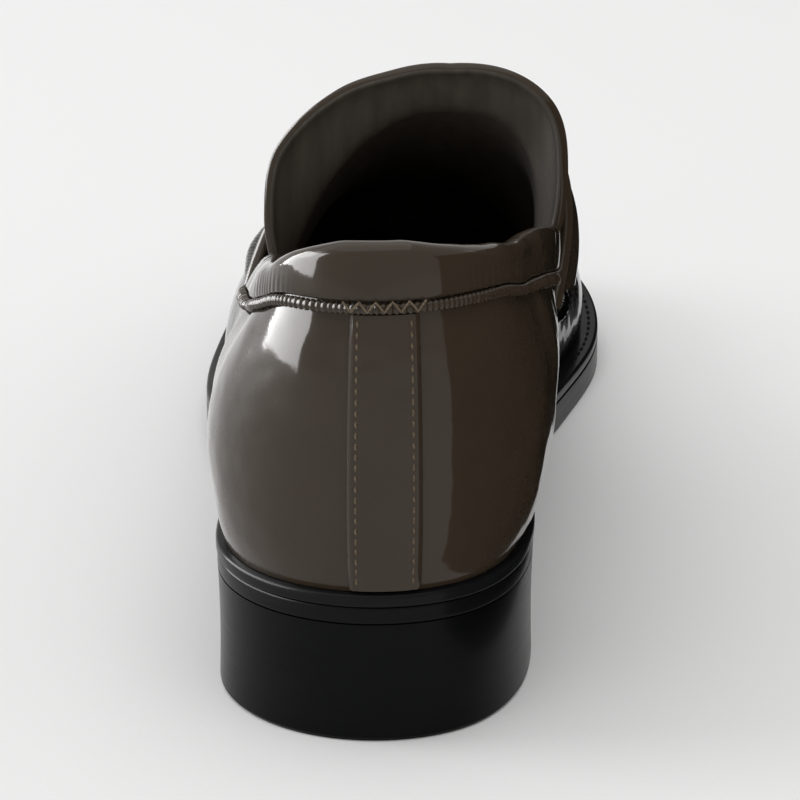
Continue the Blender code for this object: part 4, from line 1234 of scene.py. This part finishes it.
def upper_places():
    """Stations along: even in the middle, close at heel and toe, and close along the throat."""
    climb = np.linspace(0, 1, THROAT_STATIONS) ** 0.75
    throat = COLLAR_FRONT + (THROAT - COLLAR_FRONT) * climb
    places = half_stations(FEATHER_CURVE, UPPER_STATIONS)
    clear = (places < COLLAR_FRONT - STATION_GAP) | (places > THROAT + STATION_GAP)
    return np.sort(np.concatenate([places[clear], throat]))


def upper_inner(side, y, v, outer):
    """The inner face: the outer one moved in by the wall. On the ridge both sides share a point."""
    vamp = np.broadcast_to(y >= VAMP_START * SOLE_LENGTH, v.shape)
    safe = np.clip(v, 0.0, 0.995)
    on_last = face_normal(last_face, side, y, safe * vamp_stop(side, y))
    on_quarter = face_normal(upper_face, side, y, safe)
    normal = np.where(vamp[..., None], on_last, on_quarter)
    _, held = spine(y)
    slope = (ridge_height(held + MM) - ridge_height(held - MM)) / (2 * MM)
    top = unit(np.stack([0 * slope, -slope, 0 * slope + 1], axis=-1))
    near_ridge = ((v > 0.985) & (y >= THROAT))[..., None]
    return outer - np.where(near_ridge, top, normal) * UPPER_WALL, normal


def make_upper():
    """The shell: at each station a ring up the outer face and down the inner one. The faces between
    the two sides on the ridge are left out, and the join's side picks each face's leather."""
    places = upper_places()
    v = np.linspace(0, 1, UPPER_ROWS + 1)
    y = np.concatenate([places, places[-2:0:-1]])[:, None] + 0 * v[None]
    side = np.concatenate([np.full(len(places), LATERAL), np.full(len(places) - 2, MEDIAL)])
    side = side[:, None] + 0 * v[None]
    rows = v[None] + 0 * y
    plain = upper_face(side, y, rows)
    inner, normal = upper_inner(side, y, rows, plain)
    away = (1 - smooth_step(rows, 0.97, 1.0)) * smooth_step(rows, 0.0, 0.06)
    depth = (crease_depth(plain) + pucker_depth(side, y, rows)) * away
    outer = plain + normal * depth[..., None]
    rings = np.concatenate([outer, inner[:, ::-1]], axis=1)
    count, columns = rings.shape[:2]
    faces = band_faces(count, columns, wrap=True)
    column = np.tile(np.arange(columns), count)
    station = np.repeat(np.arange(count), columns)
    over = np.minimum(y[station, 0], y[(station + 1) % count, 0]) >= THROAT
    keep = ~((column == UPPER_ROWS) & over)
    inside = (column > UPPER_ROWS) & (column < columns - 1)
    # Quarter and vamp join along one station, which goes up under the saddle.
    ahead = np.minimum(y[station, 0], y[(station + 1) % count, 0]) >= JOIN
    slots = np.where(inside, 2, np.where(ahead, 1, 0))
    return add_piece(
        "upper_shell",
        rings.reshape(-1, 3),
        faces[keep].tolist(),
        [TAUPE, BLACK, LINING],
        stands_for=("upper",),
        slot="taupe_patent",
        face_slots=slots[keep],
    )


def join_stitches():
    """A row behind the join of quarter and vamp, up to the saddle's edge."""
    v = np.linspace(0.04, 0.5, 80)
    y = JOIN - JOIN_STITCH_BACK + 0 * v
    for name, side in (("stitches_join_lateral", LATERAL), ("stitches_join_medial", MEDIAL)):
        path = upper_face(side, y, v)
        normal = face_normal(upper_face, side, y, v)
        stitch_row(name, path, normal, "join")


make_upper()
join_stitches()

# %% [markdown]
# ## Collar and gathered seam
# The collar is a padded band stitched on over the topline. Its leather is drawn together along the
# foot, so fine upright gathers run up from the seam and fade towards the smooth rolled top. A cloth
# simulation could gather it, but slowly, and with little say over where a fold falls. Here the
# section is a slab with round corners, carried round the topline and rounded down at its two front
# ends, and the gathers are a ripple in its outer side whose pitch and depth drift.

# %% Collar
COLLAR_HEIGHT = 11 * MM
COLLAR_THICKNESS = 4.4 * MM
COLLAR_THINNING = 0.25
COLLAR_NOSE = 5 * MM
COLLAR_NOSE_DROP = 0.55
COLLAR_STOP, LAST_STATION_GAP = 0.4 * MM, 0.8 * MM
COLLAR_STATIONS = 420
COLLAR_FOOT_ROUND, COLLAR_TOP_ROUND = 0.2, 0.42
COLLAR_BELLY = 0.25 * MM
COLLAR_RISE = 0.1 * MM
GATHER_PITCH = 1.9 * MM
GATHER_DEPTH = 0.16 * MM
GATHER_EVEN, GATHER_UNEVEN = 0.55, 0.45
GATHER_BEATS = 9 * MM, 5.2 * MM
GATHER_DRIFT = [
    # how far the gathers drift and over what length, in mm, and the wave's start
    (0.9, 4.3, 0), (0.5, 1.9, 2),
]
COLLAR_LEAN = [
    # along, medial, lateral
    (0.000, 0.18, 0.18), (0.050, 0.10, 0.16), (0.110, 0.00, 0.18), (0.180, -0.02, 0.38),
    (0.290, -0.02, 0.60), (0.372, -0.02, 0.50),
]
COLLAR_DEPTH = [
    # along, medial, lateral
    (0.000, 0.94, 0.94), (0.002, 0.94, 0.93), (0.006, 0.90, 0.87), (0.012, 0.84, 0.79),
    (0.020, 0.79, 0.71), (0.035, 0.73, 0.62), (0.060, 0.69, 0.57), (0.085, 0.70, 0.58),
    (0.130, 0.80, 0.68), (0.200, 0.86, 0.70), (0.372, 0.86, 0.64),
]


def collar_run(count):
    """Side and place of each station from the medial front round the heel to the lateral front."""
    places = half_stations(FEATHER_CURVE, count)
    stop = COLLAR_FRONT - COLLAR_STOP
    places = np.append(places[places < stop - LAST_STATION_GAP], stop)
    side = np.concatenate([np.full(len(places) - 1, MEDIAL), np.full(len(places), LATERAL)])
    return side, np.concatenate([places[:0:-1], places])


def slab_ring(width, height, foot, top, steps=7, straight=12):
    """Outlines of a slab with round corners, for arrays of width and height: four quarter circles
    whose radius is a share of the width, and points up the outer wall for the gathers."""
    outline = []
    width, height = width[:, None], height[:, None]
    corners = [(1, 0, -90, foot), (1, 1, 0, top), (-1, 1, 90, top), (-1, 0, 180, foot)]
    for x, z, start, share in corners:
        radius = share * width
        angle = np.radians(np.linspace(start, start + 90, steps))[None]
        across = x * (width / 2 - radius) + radius * np.cos(angle)
        up = (height - radius if z else radius) + radius * np.sin(angle)
        outline.append(np.stack([across, up], axis=-1))
        if (x, z) == (1, 0):
            wall = radius + (height - top * width - radius) * np.linspace(0, 1, straight + 2)[1:-1]
            outline.append(np.stack([width / 2 + 0 * wall, wall], axis=-1))
    return np.concatenate(outline, axis=1)


def gather_depth(y, run, rise):
    """Depth of the gathers: a sine whose pitch and strength drift along the run, faded out at the
    very back, under the foot and towards the top."""
    phase = run
    for size, length, start in GATHER_DRIFT:
        phase = phase + size * MM * np.sin(run / (length * MM) + start)
    beat = np.sin(run / GATHER_BEATS[0]) * np.sin(run / GATHER_BEATS[1] + 1)
    strength = GATHER_EVEN + GATHER_UNEVEN * beat
    gathers = np.sin(2 * math.pi * phase / GATHER_PITCH) * strength
    drawn = smooth_step(y, 0.02 * COLLAR_FRONT, 0.16 * COLLAR_FRONT)
    fade = (1 - smooth_step(rise, 0.25, 1.0)) * smooth_step(rise, -0.05, 0.06)
    return GATHER_DEPTH * (gathers * drawn)[:, None] * fade


def make_collar():
    """The padded band: a slab's outline at each station of the topline, leaning by its table. The
    gathers are a sine of the distance along, strong at the foot and gone at the rolled top."""
    side, y = collar_run(COLLAR_STATIONS)
    edge = upper_face(side, y, 0 * y + 1)
    _, _, direction = meridian_base(side, y)
    out = np.column_stack([direction, 0 * y])
    along = from_back(y)
    lean = side_column(side, COLLAR_LEAN, 1, 2, along)
    tall = COLLAR_HEIGHT * side_column(side, COLLAR_DEPTH, 1, 2, along)
    near_front = np.clip((y - COLLAR_FRONT + COLLAR_NOSE) / COLLAR_NOSE, 0, 1)
    tall = tall * (1 - COLLAR_NOSE_DROP * (1 - np.sqrt(1 - near_front**2)))
    thinned = COLLAR_THINNING * smooth_step(y, 0.7 * COLLAR_FRONT, COLLAR_FRONT)
    thick = COLLAR_THICKNESS * (1 - thinned)
    outline = slab_ring(thick, tall, COLLAR_FOOT_ROUND, COLLAR_TOP_ROUND)
    rise = outline[..., 1] / tall[:, None]
    outer_side = smooth_step(outline[..., 0] / thick[:, None], -0.1, 0.35)
    push = gather_depth(y, path_length(edge), rise) * outer_side
    belly = COLLAR_BELLY * np.sin(math.pi * np.clip(rise, 0, 1)) * outer_side
    up = np.array([0.0, 0.0, 1.0]) - lean[:, None] * out
    start = edge - out * (UPPER_WALL / 2) + np.array([0, 0, COLLAR_RISE])
    rings = (
        start[:, None]
        + out[:, None] * (outline[..., 0] + push + belly)[..., None]
        + up[:, None] * outline[..., 1:]
    )
    collar = band("collar_padded", rings, [TAUPE], stands_for=("collar",), slot="taupe_patent")
    return collar


make_collar()

# %% Gathered seam
GATHER_RADIUS = 1.5 * MM
GATHER_RADIUS_BACK = 1.05 * MM
SEAM_CLEARANCE = 0.1 * MM
SEAM_FLATNESS = 0.75
SEAM_NEAREST_BACK = 1.9 * MM
FOLD_PITCH = 1.15 * MM
FOLD_DRIFT, FOLD_DRIFT_PITCH = 0.35 * MM, 3.1 * MM
FOLD_VALLEY, FOLD_HEIGHT = 0.72, 0.34
SEAM_STATIONS, SEAM_SIDES = 900, 14


def seam_path(count):
    """The seam's foot on the upper, its outward direction and its half height, which grows from the
    back to the fronts. It lies that half height and a clearance below the topline."""
    side, y = collar_run(count)
    share = smooth_step(y, 0.15 * COLLAR_FRONT, COLLAR_FRONT)
    tall = GATHER_RADIUS_BACK + (GATHER_RADIUS - GATHER_RADIUS_BACK) * share
    height = topline_height(side, y) - welt_top(y) - FEATHER_GAP
    v = 1 - (tall + SEAM_CLEARANCE) / height
    normal = face_normal(upper_face, side, np.maximum(y, SEAM_NEAREST_BACK), v)
    return upper_face(side, y, v), normal, tall


def make_gathered_seam():
    """A ruched roll: an ellipse on the seam's path whose size follows the absolute value of a sine,
    which gives fine upright folds with sharp valleys."""
    foot, normal, tall = seam_path(SEAM_STATIONS)
    deep = SEAM_FLATNESS * tall
    centre = foot + normal * (SEAM_CLEARANCE + deep)[:, None]
    run = unit(np.gradient(centre, axis=0))
    up = unit(np.cross(normal, run))
    up = up * np.sign(up[:, 2:])
    length = path_length(centre)
    drifted = length + FOLD_DRIFT * np.sin(length / FOLD_DRIFT_PITCH)
    size = FOLD_VALLEY + FOLD_HEIGHT * np.abs(np.sin(math.pi * drifted / FOLD_PITCH))
    angle = np.linspace(0, 2 * math.pi, SEAM_SIDES + 1)[:-1]
    rings = (
        centre[:, None]
        + normal[:, None] * ((deep * size)[:, None] * np.cos(angle)[None])[..., None]
        + up[:, None] * ((tall * size)[:, None] * np.sin(angle)[None])[..., None]
    )
    return band(
        "gathered_seam_ruched", rings, [TAUPE], stands_for=("gathered_seam",), slot="taupe_patent"
    )


make_gathered_seam()

# %% [markdown]
# ## The back strap
# A narrow strap covers the joint of the two quarters. A flat strip could be shrink-wrapped to the
# heel, but its turned edges would be flattened, so its section, flat with turned edges, is carried up the
# heel's own curve. A row of stitches runs up each of its edges, one stitch every two millimetres.

# %% Back strap
STRAP_WIDTH = 13.2 * MM
STRAP_SHIFT = 2.4 * MM
STRAP_WALL = 1.1 * MM
STRAP_START, STRAP_END = 0.03, 0.962
STRAP_TURN = 0.75
STRAP_GROOVE, STRAP_GROOVE_PLACE, STRAP_GROOVE_WIDTH = 0.16 * MM, 0.74, 0.05
STRAP_STITCH_PLACE = 0.75
SUNK = 0.1 * MM
HEEL_CURVE_END = 14 * MM


def heel_place(x):
    """Side and place along of the feather line's point at an across-place, round the heel's back."""
    near = [FEATHER_SIDES[s][FEATHER_SIDES[s][:, 1] < HEEL_CURVE_END] for s in (LATERAL, MEDIAL)]
    left, right = [run[np.argsort(run[:, 0])] for run in near]
    lateral = x < FEATHER_SIDES[LATERAL][0, 0]
    on_left, on_right = [np.interp(x, run[:, 0], run[:, 1]) for run in (left, right)]
    return np.where(lateral, LATERAL, MEDIAL), np.where(lateral, on_left, on_right)


def heel_point(x, v, height):
    """Point above the heel's outer face, square to it in its own meridian's plane."""
    side, y = heel_place(x)
    dv = 0.004
    rise = upper_face(side, y, v + dv) - upper_face(side, y, v - dv)
    _, _, direction = meridian_base(side, y)
    out_rise = np.sum(rise[..., :2] * direction, axis=-1)
    normal = unit(np.concatenate([direction * rise[..., 2:], -out_rise[..., None]], axis=-1))
    return upper_face(side, y, v) + normal * np.asarray(height)[..., None], normal


def make_back_strap():
    """The strap: across it the height is even, falls steeply at both edges and dips a little under
    each row of stitches. Its underside is sunk into the upper."""
    v = np.linspace(STRAP_START, STRAP_END, 130)
    top = np.linspace(-1, 1, 33)
    half = STRAP_WIDTH / 2
    crown = STRAP_WALL * (1 - STRAP_TURN * np.abs(top) ** 14)
    crown = crown - STRAP_GROOVE * bump(np.abs(top), STRAP_GROOVE_PLACE, STRAP_GROOVE_WIDTH)
    across = np.concatenate([top * half, top[::-1] * half])
    height = np.concatenate([crown, 0 * top - SUNK])
    x = STRAP_SHIFT + across[None] + 0 * v[:, None]
    points, _ = heel_point(x, v[:, None] + 0 * x, height[None] + 0 * x)
    return band(
        "back_strap_turned", points, [TAUPE], stands_for=("back_strap",), slot="taupe_patent"
    )


def strap_stitches():
    """A row up each edge of the strap."""
    v = np.linspace(STRAP_START + 0.03, STRAP_END - 0.01, 90)
    for name, side in (("stitches_strap_lateral", LATERAL), ("stitches_strap_medial", MEDIAL)):
        x = STRAP_SHIFT + side * STRAP_STITCH_PLACE * STRAP_WIDTH / 2 + 0 * v
        path, normal = heel_point(x, v, 0 * v + STRAP_WALL - SUNK)
        stitch_row(name, path, normal, "strap")


make_back_strap()
strap_stitches()

# %% [markdown]
# ## Saddle and tongue
# The saddle is the strap across the instep, and the tongue stands up behind it. Flat patches could
# be bent over the last with modifiers. Here both are drawn on the last's own surface, so that they
# follow it everywhere: an outline round each piece's thickness is carried from the lateral side over
# the ridge to the medial side. The tongue leaves the last at its bend and flares.

# %% Saddle
SADDLE_REAR = 98.6 * MM
SADDLE_REAR_TOP = 119 * MM
SADDLE_WIDTH = 46 * MM
SADDLE_WIDTH_TOP = 29 * MM
SADDLE_LOW_REAR, SADDLE_LOW_FRONT = 0.37, 0.52
SADDLE_WALL = 2.3 * MM
SADDLE_GAP = 0.25 * MM
SADDLE_SEAMS = 0.13, 0.87
SADDLE_STEPS, TONGUE_STEPS = 90, 80
STITCH_SEAT = 0.1 * MM
SADDLE_ROLLS = [
    # height in mm, place and width as shares of the strap's width: rolled edges, stitched dips
    (0.5, 0.03, 0.05), (0.3, 0.97, 0.04),
    (-0.25, SADDLE_SEAMS[0], 0.02), (-0.25, SADDLE_SEAMS[1], 0.02),
]


def crossing(low, place, offset, steps):
    """Rings that cross the instep, and the last's outward direction at each point. For climbs from 0
    at the lateral edge to 1 at the ridge and back to 0 at the medial one: low is the share of height
    where each outline point starts, place its place along and offset its distance from the last."""
    climb = np.concatenate([np.linspace(0, 1, steps + 1), np.linspace(1, 0, steps + 1)[1:]])
    side = np.concatenate([np.full(steps, LATERAL), np.full(steps + 1, MEDIAL)])
    climb, side = climb[:, None], side[:, None]
    y = place(climb)
    side = side + 0 * y
    floor = section_step(y, low + 0 * y)
    t = np.clip(floor + (1 - floor) * climb, 0, 0.9999)
    normal = face_normal(last_face, side, y, t)
    return last_face(side, y, t) + normal * offset(side, climb, y)[..., None], normal


def flat_outline(count, edge_share):
    """Loop round a flat strip: share along it, and height from 0 at its foot to 1 at its top, with
    round ends that take edge_share of the strip at either end."""
    top = (1 - np.cos(np.linspace(0, math.pi, count))) / 2
    lift = np.sqrt(np.clip(1 - (np.clip(1 - np.minimum(top, 1 - top) / edge_share, 0, 1)) ** 2, 0, 1))
    share = np.concatenate([top, top[::-1][1:-1]])
    height = np.concatenate([0.5 + 0.5 * lift, (0.5 - 0.5 * lift)[::-1][1:-1]])
    return share, height


def saddle_place(share):
    """Place along of a share of the saddle's width, at a climb: its rear edge bends forward."""

    def place(climb):
        """The rear edge, a cubic of the climb, and the share of the width ahead of it."""
        rear = SADDLE_REAR + (SADDLE_REAR_TOP - SADDLE_REAR) * (1 - (1 - climb) ** 3)
        width = SADDLE_WIDTH + (SADDLE_WIDTH_TOP - SADDLE_WIDTH) * climb
        return rear + width * share[None]

    return place


def saddle_low(share):
    """Share of height of the saddle's low edge at a share of its width."""
    return (SADDLE_LOW_REAR + (SADDLE_LOW_FRONT - SADDLE_LOW_REAR) * share)[None]


def make_saddle():
    """The strap: its wall, with a roll along each edge and a dip under each row of stitches."""
    share, height = flat_outline(60, 0.035)
    rolls = sum(size * MM * bump(share, spot, wide) for size, spot, wide in SADDLE_ROLLS)
    thick = SADDLE_GAP + height * (SADDLE_WALL + rolls * (height > 0.5))
    rings, _ = crossing(saddle_low(share), saddle_place(share), lambda *_: thick[None], SADDLE_STEPS)
    return band("saddle_strap", rings, [TAUPE], stands_for=("saddle",), slot="taupe_patent")


def saddle_stitches():
    """A row along each of the saddle's long edges, on its upper face."""
    for name, spot in zip(("stitches_saddle_rear", "stitches_saddle_front"), SADDLE_SEAMS):
        share = np.array([spot])
        high = np.array([[SADDLE_WALL + STITCH_SEAT]])
        low, place = saddle_low(share), saddle_place(share)
        rings, normal = crossing(low, place, lambda *_: high, SADDLE_STEPS)
        stitch_row(name, rings[3:-3, 0], normal[3:-3, 0], "saddle")


make_saddle()
saddle_stitches()

# %% Tongue
TONGUE_LOW = 0.46
TONGUE_EDGE_LOW, TONGUE_EDGE_TOP = 100.5 * MM, 104 * MM
TONGUE_ROOT = 172 * MM
TONGUE_TUCK = UPPER_WALL + 1.5 * MM
TONGUE_BEND = 7.5 * MM
TONGUE_WALL = 2 * MM
TONGUE_THINNING = 0.85
TONGUE_RIM, TONGUE_RIM_PLACE, TONGUE_RIM_WIDTH = 0.35 * MM, 0.012, 0.02
LINED_UNDER = 0.3
TONGUE_FLARE = [
    # climb, medial, lateral (mm out from the last)
    (0.00, -3.0, -3.0), (0.15, 0.3, 2.6), (0.35, 1.7, 7.0), (0.60, 3.4, 5.2), (0.80, 3.0, 2.9),
    (1.00, 2.3, 2.3),
]


def tongue_edge(climb):
    """Place along of the tongue's free edge."""
    return TONGUE_EDGE_LOW + (TONGUE_EDGE_TOP - TONGUE_EDGE_LOW) * climb


def make_tongue():
    """The tongue: on the last from its root to its bend, then off it by the flare's table. It thins
    towards its root, and its inner side is lining."""
    share, height = flat_outline(70, 0.018)
    thin = 1 - TONGUE_THINNING * smooth_step(share, 0.45, 1.0)
    rim = TONGUE_RIM * bump(share, TONGUE_RIM_PLACE, TONGUE_RIM_WIDTH) * (height > 0.5)

    def place(climb):
        """From the free edge towards the root, by the share to the power 1.2."""
        rear = tongue_edge(climb)
        return rear + (TONGUE_ROOT - rear) * share[None] ** 1.2

    def offset(side, climb, y):
        """Tucked under the saddle, then out to the flare, less the wall on the inner side."""
        flare = side_column(side, TONGUE_FLARE, 1, 2, climb) * MM
        free = 1 - smooth_step(y - tongue_edge(climb), 0, TONGUE_BEND)
        lie = -TONGUE_TUCK + (TONGUE_TUCK + flare) * free
        return lie + rim[None] - TONGUE_WALL * thin[None] * (1 - height[None])

    rings, _ = crossing(np.array([[TONGUE_LOW]]), place, offset, TONGUE_STEPS)
    count, number = rings.shape[:2]
    lined = np.tile(height < LINED_UNDER, count - 1)
    slots = np.concatenate([lined, np.zeros(2 * number, bool)]).astype(int)
    return band(
        "tongue_upright",
        rings,
        [TAUPE, LINING],
        stands_for=("tongue",),
        slot="taupe_patent",
        face_slots=slots,
    )


make_tongue()

# %% [markdown]
# ## The raised seam of the vamp
# A moccasin's vamp is sewn to its sides with a raised seam. A bevelled curve could draw it, but not
# its lacing. Here it is a soft rope of leather whose lacing shows as slanted strands, carried round
# the toe at a share of each section's height.

# %% Vamp seam
MOC_START = 103 * MM
MOC_SEAM_RADIUS = 1.3 * MM
MOC_TURN = 5.0 * MM
MOC_STRAND_DEPTH = 0.10
MOC_LINE = [
    # along, share of the section's height
    (0.370, 0.26), (0.480, 0.39), (0.600, 0.56), (0.760, 0.74), (0.900, 0.80), (1.000, 0.78),
]


def make_moc_seam():
    """The rope: two strands that turn once every few millimetres, its middle three quarters of its
    radius above the last."""
    places = half_stations(FEATHER_CURVE, 420)
    places = places[places > MOC_START]
    y = np.concatenate([places, places[-2::-1]])
    side = np.concatenate([np.full(len(places), LATERAL), np.full(len(places) - 1, MEDIAL)])
    t = section_step(y, table_column(MOC_LINE, 1, y / SOLE_LENGTH))
    normal = face_normal(last_face, side, y, t)
    path = last_face(side, y, t) + normal * (MOC_SEAM_RADIUS * 0.75)
    rings = tube_rings(path, MOC_SEAM_RADIUS, 16, twist=1 / MOC_TURN, ridge=MOC_STRAND_DEPTH)
    return band("vamp_seam_laced", rings, [BLACK], stands_for=("moc_seam",), slot="black_patent")


make_moc_seam()

# %% [markdown]
# ## Stitches of welt and gathered seam
# The welt is sewn down to the sole all round: on the ledge of the forepart the stitches show. Above
# the strap a flat zigzag holds the gathered seam. Painted stitches would do from afar, but these
# catch the light one by one, so each is a small solid, and the zigzag is a thin tube.

# %% Welt stitches and zigzag
WELT_STITCH_START = 78 * MM
WELT_STITCH_PLACE = 0.52
ZIGZAG_RUNS = 10
ZIGZAG_HALF_WIDTH = 7.6 * MM
ZIGZAG_HALF_HEIGHT = 0.8 * MM
ZIGZAG_PLACE = 0.986
ZIGZAG_PROUD = 2.15 * MM
ZIGZAG_RADIUS = 0.22 * MM


def welt_stitches():
    """A row on the ledge, half way between the upper and the welt's edge, where it is wide."""
    flat = paired_ring(SOLE_CURVE, 400)
    flat = flat - outward(flat) * (WELT_STITCH_PLACE * ledge_width(flat[:, 1]))[:, None]
    flat = flat[flat[:, 1] > WELT_STITCH_START]
    path = np.column_stack([flat, welt_top(flat[:, 1])])
    up = np.tile(np.array([0.0, 0.0, 1.0]), (len(path), 1))
    stitch_row("stitches_welt", path, up, "welt", THREAD_BLACK, "sole_black")


def zigzag():
    """Thread that runs up and down over the gathered seam, above the strap's top: straight runs
    between corners that lie above and below the seam's middle by turns."""
    corner = np.arange(ZIGZAG_RUNS + 1)
    fine = np.linspace(0, ZIGZAG_RUNS, ZIGZAG_RUNS * 8 + 1)
    across = np.linspace(-ZIGZAG_HALF_WIDTH, ZIGZAG_HALF_WIDTH, ZIGZAG_RUNS + 1)
    x = np.interp(fine, corner, STRAP_SHIFT + across)
    high = np.interp(fine, corner, ZIGZAG_HALF_HEIGHT * (-1.0) ** corner)
    path, _ = heel_point(x, ZIGZAG_PLACE + high / BACK_HEIGHT, 0 * x + ZIGZAG_PROUD)
    return band("zigzag_thread", tube_rings(path, ZIGZAG_RADIUS, 8), [THREAD], slot="taupe_patent")


welt_stitches()
zigzag()
